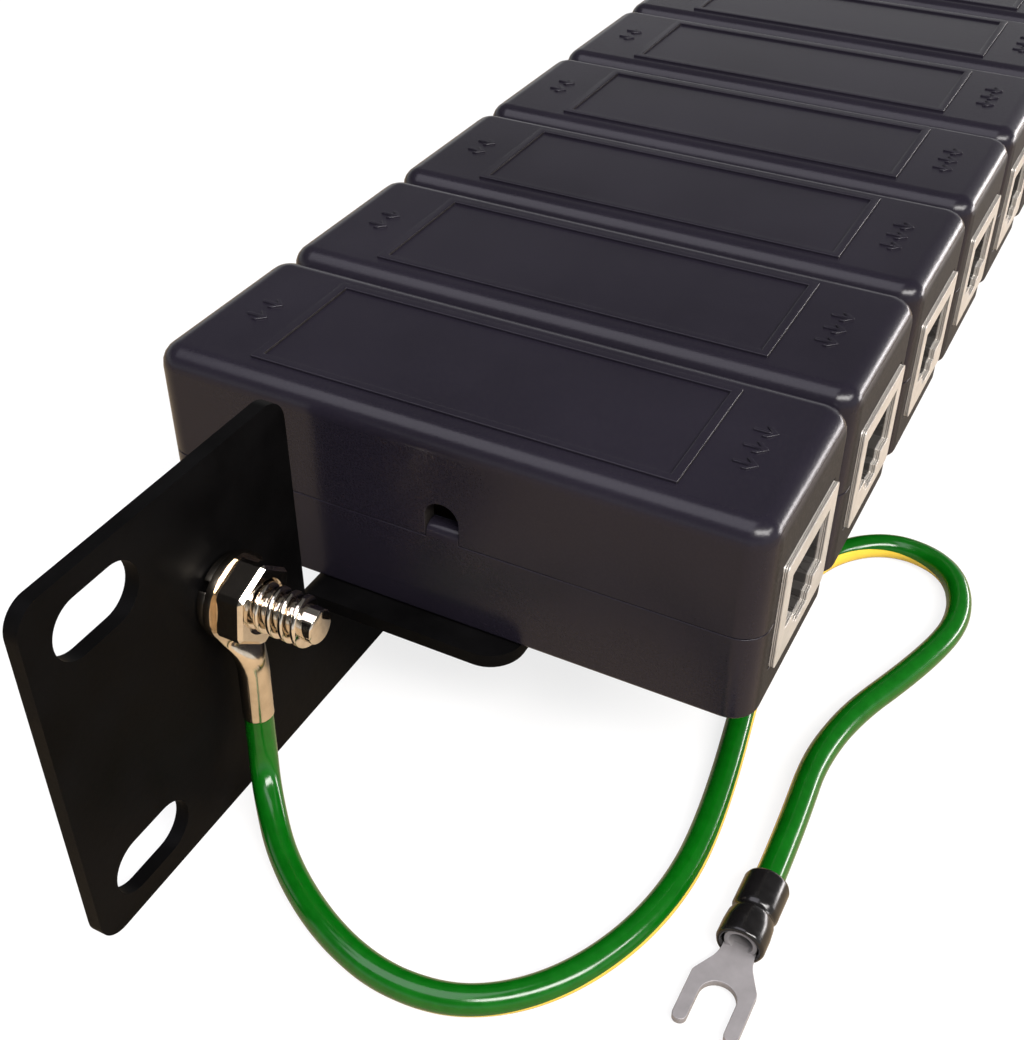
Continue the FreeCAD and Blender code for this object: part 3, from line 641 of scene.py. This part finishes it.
def piece(name, bm, slot, nodes=(), soften=0.0, segments=2, angle=35,
          smooth=True):
    """Make a finished piece: its object, rounding and material, and hide the CAD nodes it stands in
    for.
    """
    mesh = bpy.data.meshes.new(name)
    bm.to_mesh(mesh)
    bm.free()
    mesh.materials.clear()
    mesh.materials.append(finish_for(slot))
    if smooth:
        mesh.shade_smooth()
    made = bpy.data.objects.new(name, mesh)
    bpy.context.scene.collection.objects.link(made)
    if soften:
        edge = made.modifiers.new("Edges", "BEVEL")
        edge.width = soften
        edge.segments = segments
        edge.limit_method = "ANGLE"
        edge.angle_limit = math.radians(angle)
    if smooth:
        made.modifiers.new("Even shading", "WEIGHTED_NORMAL").keep_sharp = True
    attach(made, "root")
    if nodes:
        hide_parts(*nodes)
    return made


# Modules

def module_shift(number):
    """From the first module's middle to another one's."""
    return Matrix.Translation(((number - 1) * bpy.context.scene.module_sizes.pitch, 0, 0))


def rim_at(bm, level):
    """The edges that lie at one height."""
    return [edge for edge in bm.edges
            if all(abs(point.co.z - level) < 1e-6 for point in edge.verts)]


def jack_openings(bottom, top, sizes):
    """Cutters for the two openings that the jacks stand in."""
    half = bpy.context.scene.jack_sizes.width / 2 + JACK_PLAY
    reach = sizes.wall + THROUGH
    return [block((MIDDLE_X - half, place - reach, bottom), (MIDDLE_X + half, place + reach, top))
            for place in (BASE_LOW.y, BASE_HIGH.y)]


def hollow_shell(sizes, bottom, top, rim, room_shifts, cutters):
    """A shell with rounded corners and one rounded rim, hollowed and then cut.

    rim is a height, a radius and segments. room_shifts move the room's floor and ceiling from
    the shell's underside and top.
    """
    low = Vector((BASE_LOW.x, BASE_LOW.y - sizes.overlap, bottom))
    high = Vector((BASE_HIGH.x, BASE_HIGH.y + sizes.overlap, top))
    bm = block(low, high)
    round_edges(bm, edges_along(bm, 2), sizes.corner, 8)
    level, radius, segments = rim
    round_edges(bm, rim_at(bm, level), radius, segments)
    wall = Vector((sizes.wall, sizes.wall, 0))
    room = block(low + wall + Vector((0, 0, room_shifts[0])),
                 high - wall + Vector((0, 0, room_shifts[1])))
    round_edges(room, edges_along(room, 2), ROOM_CORNER, 3)
    return cut(bm, room, *cutters)


def for_each_module(bm, name, node, sizes):
    """A named copy of a shell for every module. The first one is used up."""
    for number in MODULE_NUMBERS:
        piece(f"{name}_{number:02d}", copied(bm, module_shift(number)), "module_plastic",
              [f"{node}_{number:02d}"], soften=sizes.crisp_edge)
    bm.free()


def label_frame(sizes, middle, top):
    """The raised bead round the label area."""
    start = BASE_LOW.y + sizes.label_start
    half = sizes.label_width / 2
    outside = [(middle - half, start), (middle + half, start),
               (middle + half, start + sizes.label_length),
               (middle - half, start + sizes.label_length)]
    bm = bmesh.new()
    face = bm.faces.new([bm.verts.new((x, y, top - ROOTED)) for x, y in outside])
    face.normal_update()
    bmesh.ops.inset_region(bm, faces=[face], thickness=sizes.bead_width, use_even_offset=True,
                           use_boundary=True)
    bmesh.ops.delete(bm, geom=[face], context="FACES_ONLY")
    return give_height(bm, sizes.bead_height + ROOTED)


def flow_marks(sizes, middle, place, top, count):
    """A row of small raised arrows that show which way the signal goes."""
    marks = bmesh.new()
    wing, shaft = sizes.mark_width / 2, sizes.mark_stroke / 2
    tip, tail = place - sizes.mark_length / 2, place + sizes.mark_length / 2
    thick = sizes.mark_stroke * math.sqrt(2)
    barb = tip + wing
    for number in range(count):
        across = middle + (number - (count - 1) / 2) * sizes.mark_width * 1.55
        right = [(wing, barb), (wing, barb + thick), (shaft, tip + shaft + thick), (shaft, tail)]
        left = [(-x, y) for x, y in reversed(right)]
        outline = [(across + x, y) for x, y in [(0.0, tip), *right, *left]]
        joined(marks, plate(outline, top - ROOTED, top + sizes.mark_height))
    return marks


def notch_cutters(sizes, wall_x, parting):
    """Cutters for the arched cable notch in the side wall."""
    place = BASE_LOW.y + sizes.notch_place
    half = sizes.notch_width / 2
    spring = parting + sizes.notch_height - half
    outside, inside = wall_x - THROUGH, wall_x + sizes.wall + THROUGH
    slot = block((outside, place - half, parting - THROUGH), (inside, place + half, spring))
    return [slot, rod(half, (outside, place, spring), (inside, place, spring), 40)]


class SURGE_OT_covers(Operator):
    """Model the sixteen module covers with their label frames, flow marks and cable notches"""

    bl_idname = "surge.covers"
    bl_label = "Module covers"

    def execute(self, context):
        sizes = context.scene.module_sizes
        jack = context.scene.jack_sizes
        top = COVER_HIGH.z - sizes.bead_height
        parting = COVER_LOW.z
        jack_top = BASE_LOW.z + jack.lift + jack.height + JACK_PLAY
        bm = hollow_shell(sizes, parting + HALF_SEAM, top, (top, sizes.top_edge, 6),
                          (-THROUGH, -sizes.wall),
                          [*jack_openings(parting - THROUGH, jack_top, sizes),
                           *notch_cutters(sizes, BASE_LOW.x, parting)])
        equip_marks = BASE_LOW.y + sizes.label_start / 2 + 0.0006
        line_marks = BASE_HIGH.y - 0.0058
        joined(bm, label_frame(sizes, MIDDLE_X, top),
               flow_marks(sizes, MIDDLE_X, equip_marks, top, 3),
               flow_marks(sizes, MIDDLE_X, line_marks, top, 2))
        for_each_module(bm, "cover_shell", "module_cover", sizes)
        return {"FINISHED"}


class SURGE_OT_bases(Operator):
    """Model the sixteen module bases with the scooped tongue under each cable notch"""

    bl_idname = "surge.bases"
    bl_label = "Module bases"

    def execute(self, context):
        sizes = context.scene.module_sizes
        jack = context.scene.jack_sizes
        parting = COVER_LOW.z
        jack_bottom = BASE_LOW.z + jack.lift - JACK_PLAY
        bm = hollow_shell(sizes, BASE_LOW.z, parting - HALF_SEAM,
                          (BASE_LOW.z, sizes.foot_edge, 3), (sizes.wall, THROUGH),
                          jack_openings(jack_bottom, parting + THROUGH, sizes))
        place = BASE_LOW.y + sizes.notch_place
        half = sizes.notch_width / 2 - 0.00005
        tongue = block((BASE_LOW.x, place - half, parting - THROUGH),
                       (BASE_LOW.x + sizes.wall, place + half, parting + sizes.notch_tongue))
        outer = [edge for edge in edges_along(tongue, 1)
                 if all(point.co.z > parting and point.co.x < BASE_LOW.x + 1e-6
                        for point in edge.verts)]
        round_edges(tongue, outer, sizes.notch_tongue * 0.8, 6)
        for_each_module(cut(bm, tongue, operation="UNION"), "base_shell", "module_base", sizes)
        return {"FINISHED"}


# Jacks

def socket_cutters(jack, middle, front, grow=0.0, deep=0.005):
    """Cutters for a socket and its latch pocket, entered from the equipment end."""
    top = BASE_LOW.z + jack.lift + jack.height - jack.top_margin + grow
    bottom = top - jack.socket_height - 2 * grow
    half = jack.socket_width / 2 + grow
    latch = jack.latch_width / 2 + grow
    step = latch * 0.62
    mouth = front - THROUGH
    return [block((middle - half, mouth, bottom), (middle + half, front + deep, top)),
            block((middle - latch, mouth, bottom - jack.latch_height * 0.55),
                  (middle + latch, front + deep, top - 0.001)),
            block((middle - step, mouth, bottom - jack.latch_height),
                  (middle + step, front + deep, top - 0.001))]


def jack_frame(jack, middle, front):
    """The plated frame round one socket, built from three thin layers."""
    bottom = BASE_LOW.z + jack.lift
    parts = bmesh.new()
    for start, end, inset in FRAME_LAYERS:
        half = jack.width / 2 - inset
        body = block((middle - half, front + start, bottom + inset),
                     (middle + half, front + end, bottom + jack.height - inset))
        round_edges(body, edges_along(body, 1), 0.0007, 4)
        joined(parts, cut(body, *socket_cutters(jack, middle, front)))
    return parts


def jack_insides(jack, middle, front):
    """The plastic behind the frame, with the comb of rounded blocks over the contacts."""
    bottom = BASE_LOW.z + jack.lift
    top = bottom + jack.height
    tuck = 0.0005
    half = jack.width / 2 - tuck
    body = block((middle - half, front + 0.0007, bottom + tuck),
                 (middle + half, front + jack.depth, top - tuck))
    body = cut(body, *socket_cutters(jack, middle, front, -0.00012, jack.socket_depth))
    roof = top - jack.top_margin
    pitch = jack.socket_width / 4
    for number in range(4):
        across = middle + (number - 1.5) * pitch
        tooth = block((across - pitch * 0.40, front + 0.0014, roof - 0.0042),
                      (across + pitch * 0.40, front + 0.0085, roof + 0.0002))
        lower = [edge for edge in edges_along(tooth, 0)
                 if all(point.co.z < roof - 0.004 and point.co.y < front + 0.002
                        for point in edge.verts)]
        round_edges(tooth, lower, 0.0016, 6)
        joined(body, tooth)
    return body


def jack_contacts(jack, middle, front):
    """The bent contact wires of one jack."""
    roof = BASE_LOW.z + jack.lift + jack.height - jack.top_margin
    wires = bmesh.new()
    radius = jack.contact_diameter / 2
    bends = [(0.0020, -0.0006), (0.0032, -0.0048), (0.0044, -0.0052), (0.0105, -0.0016)]
    for number in range(jack.contacts):
        across = middle + (number - (jack.contacts - 1) / 2) * jack.contact_pitch
        points = [Vector((across, front + deep, roof + drop)) for deep, drop in bends]
        for start, end in zip(points, points[1:]):
            joined(wires, rod(radius, start, end, 10))
    return wires


def row_of(bm, mirrored):
    """A part of the first jack repeated for all modules, at one end of them or the other."""
    row = bmesh.new()
    turn = Matrix.Identity(4)
    if mirrored:
        middle = (BASE_LOW.y + BASE_HIGH.y) / 2
        turn = (Matrix.Translation((0, middle, 0)) @ Matrix.Scale(-1, 4, (0, 1, 0))
                @ Matrix.Translation((0, -middle, 0)))
    for number in MODULE_NUMBERS:
        joined(row, copied(bm, module_shift(number) @ turn))
    return row


class SURGE_OT_jacks(Operator):
    """Model the two rows of jacks: plated frames, plastic insides and contacts"""

    bl_idname = "surge.jacks"
    bl_label = "Jacks"

    def execute(self, context):
        jack = context.scene.jack_sizes
        front = BASE_LOW.y - jack.stand_out
        frame_mesh = jack_frame(jack, MIDDLE_X, front)
        inside_mesh = jack_insides(jack, MIDDLE_X, front)
        contact_mesh = jack_contacts(jack, MIDDLE_X, front)
        for side, mirrored in (("equip", False), ("line", True)):
            piece(f"{side}_socket_frames", row_of(frame_mesh, mirrored), "shield_metal",
                  [f"{side}_jack_shields"], soften=0.00004)
            piece(f"{side}_socket_insides", row_of(inside_mesh, mirrored), "jack_plastic",
                  [f"{side}_jack_housings"], soften=0.00010)
            piece(f"{side}_socket_contacts", row_of(contact_mesh, mirrored), "contact_metal")
        for used in (frame_mesh, inside_mesh, contact_mesh):
            used.free()
        return {"FINISHED"}


# Panel

class SURGE_OT_panel(Operator):
    """Dress the folded panel with soft punched edges, and add the screws under its flange"""

    bl_idname = "surge.panel"
    bl_label = "Folded panel"

    def execute(self, context):
        piece("folded_panel", node_copy("bracket"), "panel_paint", ["bracket"],
              soften=0.00022, segments=2, angle=40)
        flange = BASE_LOW.z - SHEET
        place = BASE_LOW.y + SCREW_PLACE
        head = turned([(-0.0008, 0.0), (-0.0008, 0.0028), (0.0004, 0.0028), (0.0011, 0.0022),
                       (0.0015, 0.0012), (0.0016, 0.0)], (MIDDLE_X, place, flange), (0, 0, -1), 32)
        recess = [block((MIDDLE_X - a, place - b, flange - 0.002),
                        (MIDDLE_X + a, place + b, flange - 0.0007))
                  for a, b in ((0.0014, 0.0003), (0.0003, 0.0014))]
        head = cut(head, *recess)
        screws = bmesh.new()
        for number in MODULE_NUMBERS:
            joined(screws, copied(head, module_shift(number)))
        head.free()
        piece("flange_screws", screws, "bright_steel", soften=0.00008)
        return {"FINISHED"}


# Ground stud

def on_stud(place, turn):
    """The move that lays an upright part from the origin along the stud."""
    return (Matrix.Translation((STUD_X, place, STUD_Z))
            @ Matrix.Rotation(math.radians(90), 4, "X") @ Matrix.Rotation(turn, 4, "Z"))


def threaded_rod(stud, start, tip):
    """A plain core with one rounded ridge wound on it, which ends short of the tip."""
    steps = 32
    rise = [(-0.00042, stud.root - 0.0002), (-0.00042, stud.root),
            (-0.00032, stud.crest - 0.00022), (-0.00026, stud.crest - 0.00008),
            (-0.00015, stud.crest)]
    ridge = rise + [(-along, radius) for along, radius in reversed(rise)]
    turns = round((tip - stud.plain_tip - start - 0.001) / stud.pitch)
    first = tip - stud.plain_tip - turns * stud.pitch
    bm = bmesh.new()
    face = bm.faces.new([bm.verts.new((radius, 0, first + along)) for along, radius in ridge])
    bmesh.ops.spin(bm, geom=[face], cent=(0, 0, 0), axis=(0, 0, 1), dvec=(0, 0, stud.pitch / steps),
                   angle=math.tau * turns, steps=steps * turns)
    bmesh.ops.recalc_face_normals(bm, faces=bm.faces)
    bmesh.ops.transform(bm, matrix=on_stud(0, stud.thread_end), verts=bm.verts)
    core = turned([(0.0, 0.0), (0.0, stud.root), (tip - start - 0.00015, stud.root),
                   (tip - start, stud.root - 0.00015), (tip - start, 0.0)],
                  (STUD_X, -start, STUD_Z), (0, -1, 0), 48)
    return joined(bm, core)


def hexagon_nut(stud):
    """A nut with flat chamfers along its edges and a countersunk bore."""
    width = min(NUT_HIGH.z - NUT_LOW.z, NUT_HIGH.x - NUT_LOW.x)
    bm = bmesh.new()
    bmesh.ops.create_cone(bm, cap_ends=True, segments=6, radius1=width / math.sqrt(3),
                          radius2=width / math.sqrt(3), depth=NUT_HIGH.y - NUT_LOW.y)
    middle = (NUT_LOW.y + NUT_HIGH.y) / 2
    bmesh.ops.transform(bm, matrix=on_stud(middle, stud.nut_turn - math.pi / 2), verts=bm.verts)
    round_edges(bm, bm.edges[:], stud.nut_edge, 1)
    bore = rod(stud.root + 0.0004, (STUD_X, NUT_LOW.y - THROUGH, STUD_Z),
               (STUD_X, NUT_HIGH.y + THROUGH, STUD_Z), 40)
    sink = turned([(0.0, 0.0), (0.0, stud.crest + 0.00035), (0.0008, stud.root + 0.0003),
                   (0.0008, 0.0)], (STUD_X, NUT_LOW.y - 0.00001, STUD_Z), (0, 1, 0), 40)
    return cut(bm, bore, sink)


def spring_washer(stud):
    """A split spring washer: a square wire turned nearly once round, with a small rise."""
    outer = (WASHER_HIGH.x - WASHER_LOW.x) / 2
    inner = stud.crest + 0.00015
    thick = (WASHER_HIGH.y - WASHER_LOW.y) * 0.86
    rise = (WASHER_HIGH.y - WASHER_LOW.y) - thick
    steps, gap = 60, math.radians(14)
    bm = bmesh.new()
    corners = [(inner, 0, 0), (outer, 0, 0), (outer, 0, thick), (inner, 0, thick)]
    face = bm.faces.new([bm.verts.new(corner) for corner in corners])
    bmesh.ops.spin(bm, geom=[face], cent=(0, 0, 0), axis=(0, 0, 1), dvec=(0, 0, rise / steps),
                   angle=math.tau - gap, steps=steps)
    bmesh.ops.transform(bm, matrix=on_stud(WASHER_HIGH.y, stud.washer_split + gap / 2),
                        verts=bm.verts)
    bmesh.ops.recalc_face_normals(bm, faces=bm.faces)
    return bm


def crimped_barrel(stud, back):
    """The tongue's neck lofted into the closed barrel."""
    foot = Vector(BARREL_END)
    top = Vector((STUD_X, back, STUD_Z))
    down = Vector((foot.x - top.x, 0, foot.z - top.z)).normalized()
    side = Vector((-down.z, 0, down.x))
    reach = (foot.x - top.x) * down.x + (foot.z - top.z) * down.z
    full = 2 * stud.barrel
    # Place down from the stud, width, depth and squareness of each section.
    sections = [(0.0014, 0.0087, 0.0008, 0.25), (0.0030, 0.0072, 0.0008, 0.25),
                (0.0042, 0.0059, 0.00084, 0.30), (0.0048, 0.0053, 0.00115, 0.42),
                (0.0054, 0.0048, 0.00165, 0.58), (0.0061, 0.0043, 0.0022, 0.74),
                (0.0069, 0.0039, 0.0027, 0.88), (0.0078, 0.0036, 0.00305, 0.96),
                (0.0090, full, full, 1.0), (0.0120, full, full, 1.0),
                (reach - 0.0003, full, full, 1.0), (reach, full - 0.0002, full - 0.0002, 1.0)]
    bm = bmesh.new()
    loops = []
    for drop, width, deep, square in sections:
        ring = bmesh.ops.create_circle(bm, segments=48, radius=1.0, cap_ends=False)["verts"]
        for point in ring:
            across, out = point.co.x, point.co.y
            across = math.copysign(abs(across) ** square, across) * width / 2
            out = math.copysign(abs(out) ** square, out) * deep / 2
            place = top + down * drop + side * across
            point.co = (place.x, back - deep / 2 - out, place.z)
        loops.append(list({edge for point in ring for edge in point.link_edges}))
    for first, second in zip(loops, loops[1:]):
        bmesh.ops.bridge_loops(bm, edges=first + second)
    for rim in (loops[0], loops[-1]):
        bmesh.ops.contextual_create(bm, geom=rim)
    bmesh.ops.recalc_face_normals(bm, faces=bm.faces)
    return bm


class SURGE_OT_stud(Operator):
    """Model the ground stud with its thread, the nut, the split washer and the ring terminal"""

    bl_idname = "surge.stud"
    bl_label = "Ground stud"

    def execute(self, context):
        stud = context.scene.stud_sizes
        panel_front = WASHER_HIGH.y
        thread = threaded_rod(stud, -panel_front + 0.0001, -panel_front + stud.reach)
        head = turned([(0.00002, 0.0), (0.00002, stud.head), (stud.head_height, stud.head - 0.0001),
                       (stud.head_height, stud.crest), (0.0020, stud.crest), (0.0020, 0.0)],
                      (STUD_X, 0, STUD_Z), (0, -1, 0), 40)
        piece("threaded_stud", joined(thread, head), "bright_steel", ["ground_stud"],
              soften=0.00003)
        piece("hexagon_nut", hexagon_nut(stud), "bright_steel", ["stud_nut"],
              soften=0.00003, angle=20, smooth=False)
        piece("spring_washer", spring_washer(stud), "bright_steel", ["lock_washer"], soften=0.0001)
        back = WASHER_LOW.y
        eye = rod(stud.ring, (STUD_X, back, STUD_Z), (STUD_X, back - stud.tongue, STUD_Z), 64)
        hole = rod(stud.crest + 0.0001, (STUD_X, back + THROUGH, STUD_Z),
                   (STUD_X, back - 0.002, STUD_Z), 40)
        tongue = cut(cut(eye, crimped_barrel(stud, back), operation="UNION"), hole)
        piece("ring_tongue", tongue, "tinned_copper", ["ring_terminal"], soften=0.00009, angle=50)
        return {"FINISHED"}


# Ground lead

class SURGE_OT_lead(Operator):
    """Lay the ground lead along its route as a smooth curve"""

    bl_idname = "surge.lead"
    bl_label = "Ground lead"

    def execute(self, context):
        sizes = context.scene.lead_sizes
        curve = bpy.data.curves.new("striped_lead", "CURVE")
        curve.dimensions = "3D"
        curve.twist_mode = "MINIMUM"
        curve.bevel_depth = sizes.diameter / 2
        curve.bevel_resolution = 8
        curve.resolution_u = 16
        curve.use_fill_caps = True
        route = curve.splines.new("NURBS")
        route.points.add(len(LEAD_POINTS) - 1)
        for point, place, twist in zip(route.points, LEAD_POINTS, LEAD_TWIST):
            point.co = (*place, 1.0)
            point.tilt = math.radians(twist) + sizes.stripe_turn
        route.order_u = 3
        route.use_endpoint_u = True
        curve.materials.append(finish_for("lead_insulation"))
        lead = bpy.data.objects.new("striped_lead", curve)
        context.scene.collection.objects.link(lead)
        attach(lead, "root")
        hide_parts("ground_wire")
        return {"FINISHED"}


class SURGE_OT_fork(Operator):
    bl_idname = "surge.fork"
    bl_label = "Fork and sleeve"

    def execute(self, context):
        sizes = context.scene.lead_sizes
        sleeve_low, sleeve_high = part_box("fork_sleeve")
        axis = Vector((0, (sleeve_low.y + sleeve_high.y) / 2, (sleeve_low.z + sleeve_high.z) / 2))
        run = sleeve_high.x - sleeve_low.x
        cord_end, mouth = sizes.sleeve_start, sizes.sleeve_mouth
        start = Vector((sleeve_high.x, axis.y, axis.z))
        profile = [(0.0016, 0.0), (0.0016, 0.00160), (0.00015, 0.00164), (0.0, cord_end - 0.00042),
                   (0.00012, cord_end - 0.00014), (0.00045, cord_end), (0.0039, cord_end),
                   (0.0043, cord_end - 0.00022), (0.0045, cord_end - 0.00034),
                   (0.0047, cord_end - 0.00022), (0.0052, mouth - 0.0001), (0.0064, mouth),
                   (run - 0.0004, mouth), (run - 0.0001, mouth - 0.00014),
                   (run, mouth - 0.00034), (run - 0.0001, mouth - 0.00052),
                   (run - 0.0022, mouth - 0.00060), (run - 0.0022, 0.0)]
        sleeve = turned(profile, start, (-1, 0, 0), 56)
        piece("vinyl_sleeve", sleeve, "sleeve_vinyl", ["fork_sleeve"])

        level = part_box("fork_terminal")[0].z
        base, y = sleeve_low.x, axis.y
        tip, shoulder = base - sizes.fork_length, base - sizes.fork_shoulder
        half, slot, neck = sizes.fork_width / 2, sizes.fork_slot / 2, sizes.fork_neck / 2
        # Half of the blade's outline, from the barrel to the foot of the slot, and the radii of
        # its corners but the first.
        side = [(base + 0.0012, neck), (base - 0.0007, neck), (shoulder, half), (tip, half),
                (tip, slot), (shoulder - 0.0002, slot)]
        end_round = (half - slot) * 0.48
        rounds = [0.0009, 0.0002, end_round, end_round, slot * 0.98]
        outline = [(x, y + out) for x, out in side] + [(x, y - out) for x, out in reversed(side)]
        blade = plate(outline, level, level + sizes.fork_thickness,
                      enumerate(rounds + rounds[::-1], 1))
        barrel = rod(0.00172, (base + 0.0060, y, axis.z), (base + 0.0004, y, axis.z), 40)
        bore = rod(0.00125, (base + 0.0022, y, axis.z), (base - THROUGH, y, axis.z), 32)
        piece("stamped_fork", joined(blade, cut(barrel, bore)), "fork_steel", ["fork_terminal"],
              soften=0.00008)

        return {"FINISHED"}


class SURGE_OT_inner_finishes(Operator):
    """Give the boards, arresters and inserts inside the modules their own finishes"""

    bl_idname = "surge.inner_finishes"
    bl_label = "Inner finishes"

    def execute(self, context):
        for node, slot in (("circuit_boards", "board"), ("surge_arresters", "arrester_body"),
                           ("ground_inserts", "brass_insert")):
            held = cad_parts[node]
            held.data.materials.clear()
            held.data.materials.append(finish_for(slot))
        return {"FINISHED"}


# Camera and stage

class SURGE_OT_camera(Operator):
    """Set the camera at the photograph's viewpoint"""

    bl_idname = "surge.camera"
    bl_label = "Camera"

    def execute(self, context):
        lens = bpy.data.cameras.new("camera")
        lens.lens = context.scene.stage_settings.lens
        lens.sensor_width = 36.0
        lens.clip_start = 0.01
        lens.clip_end = 20.0
        camera = bpy.data.objects.new("camera", lens)
        context.scene.collection.objects.link(camera)
        right = Vector((0.46127, -0.88726, 0.00283))
        up = Vector((0.54604, 0.28639, 0.78729))
        forward = Vector((0.69933, 0.36161, -0.61658))
        turn = Matrix((right, up, -forward)).transposed().to_4x4()
        camera.matrix_world = Matrix.Translation((-0.296486, -0.075103, 0.096931)) @ turn
        context.scene.camera = camera
        return {"FINISHED"}


def lamp(name, start, end, depth, aim, radiance, tint=(1.0, 1.0, 1.0)):
    """A soft oblong lamp that lies between two points and faces a third."""
    start, end, aim = Vector(start), Vector(end), Vector(aim)
    along = (end - start).normalized()
    middle = (start + end) / 2
    back = middle - aim
    back = (back - back.dot(along) * along).normalized()
    light = bpy.data.lights.new(name, "AREA")
    light.shape = "RECTANGLE"
    light.size, light.size_y = (end - start).length, depth
    light.energy = radiance * math.pi * light.size * light.size_y
    light.color = tint
    held = bpy.data.objects.new(name, light)
    turn = Matrix((along, back.cross(along), back)).transposed().to_4x4()
    held.matrix_world = Matrix.Translation(middle) @ turn
    held.visible_camera = False
    bpy.context.scene.collection.objects.link(held)


def floor_material(settings):
    """Pale floor that the camera sees nearly white, and metal a little, with the shadow kept."""
    floor = Finish("pale_floor")
    grain = floor.noise(14, 3, 0.5)
    direct = floor.rays("Is Camera Ray") + floor.rays("Is Transmission Ray")
    pale = floor.blend(grain, shade(settings.floor, 0.985), settings.floor[:])
    round_about = floor.blend(floor.rays("Is Glossy Ray"), (0.50, 0.49, 0.51), settings.bounce[:])
    floor.set(Base_Color=floor.blend(direct, round_about, pale), Roughness=0.85,
              Specular_IOR_Level=0.1)
    white = floor.node("ShaderNodeEmission", {}, {"Color": (1, 1, 1, 1), "Strength": 1.0})
    lit = Value(floor, floor.shader.outputs[0])
    share = 0.8 * direct + 0.1 * floor.rays("Is Glossy Ray")
    seen = floor.node("ShaderNodeMixShader", {}, {0: share, 1: lit, 2: white})
    floor.feed(floor.output.inputs["Surface"], seen)
    return floor.material


class SURGE_OT_stage(Operator):
    """Lay the pale floor and hang the soft lamps"""

    bl_idname = "surge.stage"
    bl_label = "Stage"

    def execute(self, context):
        settings = context.scene.stage_settings
        bm = bmesh.new()
        bmesh.ops.create_grid(bm, x_segments=1, y_segments=1, size=6.0)
        bmesh.ops.translate(bm, vec=(0, 0, CAD_BOX[0].z - 0.00005), verts=bm.verts)
        mesh = bpy.data.meshes.new("floor")
        bm.to_mesh(mesh)
        bm.free()
        mesh.materials.append(floor_material(settings))
        floor = bpy.data.objects.new("floor", mesh)
        context.scene.collection.objects.link(floor)

        world = bpy.data.worlds.new("soft_sky")
        world.use_nodes = True
        sky = NodeWork(world.node_tree)
        direct = sky.rays("Is Camera Ray") + sky.rays("Is Transmission Ray")
        glossy = sky.rays("Is Glossy Ray")
        way = sky.node("ShaderNodeTexCoord", {}, {}, "Generated")
        rise = sky.node("ShaderNodeSeparateXYZ", {}, {0: way}, 2)
        walls = sky.ramp(rise, 0.12, 0.42, 0.9, settings.ceiling)
        soft = (1.0 - direct) * (1.0 - glossy) * settings.sky
        ground = world.node_tree.nodes["Background"]
        ground.inputs["Color"].default_value = (1, 1, 1, 1)
        sky.feed(ground.inputs["Strength"], direct + glossy * walls + soft)
        context.scene.world = world
        context.scene.view_settings.view_transform = "Standard"

        aim = (-0.15, -0.03, 0.0)
        lamp("key_lamp", (-0.69, -0.255, 0.675), (-0.238, -0.77, 0.502), 0.22, aim, 26.0,
             (1.0, 0.97, 0.95))
        lamp("glint_lamp", (-0.17, -0.735, 0.53), (-0.02, -0.72, 0.525), 0.12,
             (-0.2166, -0.005, 0.006), 24.0, (1.0, 0.97, 0.96))
        lamp("side_lamp", (-0.42, -0.15, 0.88), (-0.42, 0.65, 0.88), 0.78, aim, 3.0,
             (0.93, 0.90, 1.0))
        lamp("low_lamp", (0.20, -0.66, 0.05), (1.80, -0.66, 0.05), 0.12,
             (0.20, -0.05, 0.0), 20.0, (1.0, 0.95, 0.95))
        return {"FINISHED"}


# Sidebar

GROUPS = (("module_sizes", "Modules", ModuleSizes), ("jack_sizes", "Jacks", JackSizes),
          ("stud_sizes", "Ground stud", StudSizes), ("lead_sizes", "Ground lead", LeadSizes),
          ("finish_colours", "Finishes", FinishColours),
          ("stage_settings", "Stage", StageSettings))
STEPS = (SURGE_OT_camera, SURGE_OT_lead, SURGE_OT_covers, SURGE_OT_bases, SURGE_OT_jacks,
         SURGE_OT_panel, SURGE_OT_stud, SURGE_OT_fork, SURGE_OT_inner_finishes, SURGE_OT_stage)


class SURGE_PT_sidebar(Panel):
    """Sizes, finishes and steps of the surge panel"""

    bl_idname = "SURGE_PT_sidebar"
    bl_label = "Surge panel"
    bl_space_type = "VIEW_3D"
    bl_region_type = "UI"
    bl_category = "Surge panel"

    def draw(self, context):
        for attribute, title, group in GROUPS:
            box = self.layout.box()
            box.label(text=title)
            for name in group.__annotations__:
                box.prop(getattr(context.scene, attribute), name)
        for step in STEPS:
            self.layout.operator(step.bl_idname)


def register():
    """Register the add-on's classes and its settings on the scene."""
    for _, _, group in GROUPS:
        bpy.utils.register_class(group)
    for step in (*STEPS, SURGE_PT_sidebar):
        bpy.utils.register_class(step)
    for attribute, _, group in GROUPS:
        setattr(bpy.types.Scene, attribute, PointerProperty(type=group))


def unregister():
    """Take the add-on's classes and settings away again."""
    for attribute, _, _ in GROUPS:
        delattr(bpy.types.Scene, attribute)
    for step in reversed((*STEPS, SURGE_PT_sidebar)):
        bpy.utils.unregister_class(step)
    for _, _, group in reversed(GROUPS):
        bpy.utils.unregister_class(group)


def main():
    """Build every piece in order."""
    register()
    bpy.ops.surge.camera()
    bpy.ops.surge.lead()
    bpy.ops.surge.covers()
    bpy.ops.surge.bases()
    bpy.ops.surge.jacks()
    bpy.ops.surge.panel()
    bpy.ops.surge.stud()
    bpy.ops.surge.fork()
    bpy.ops.surge.inner_finishes()
    bpy.ops.surge.stage()


if __name__ == "__main__":
    main()
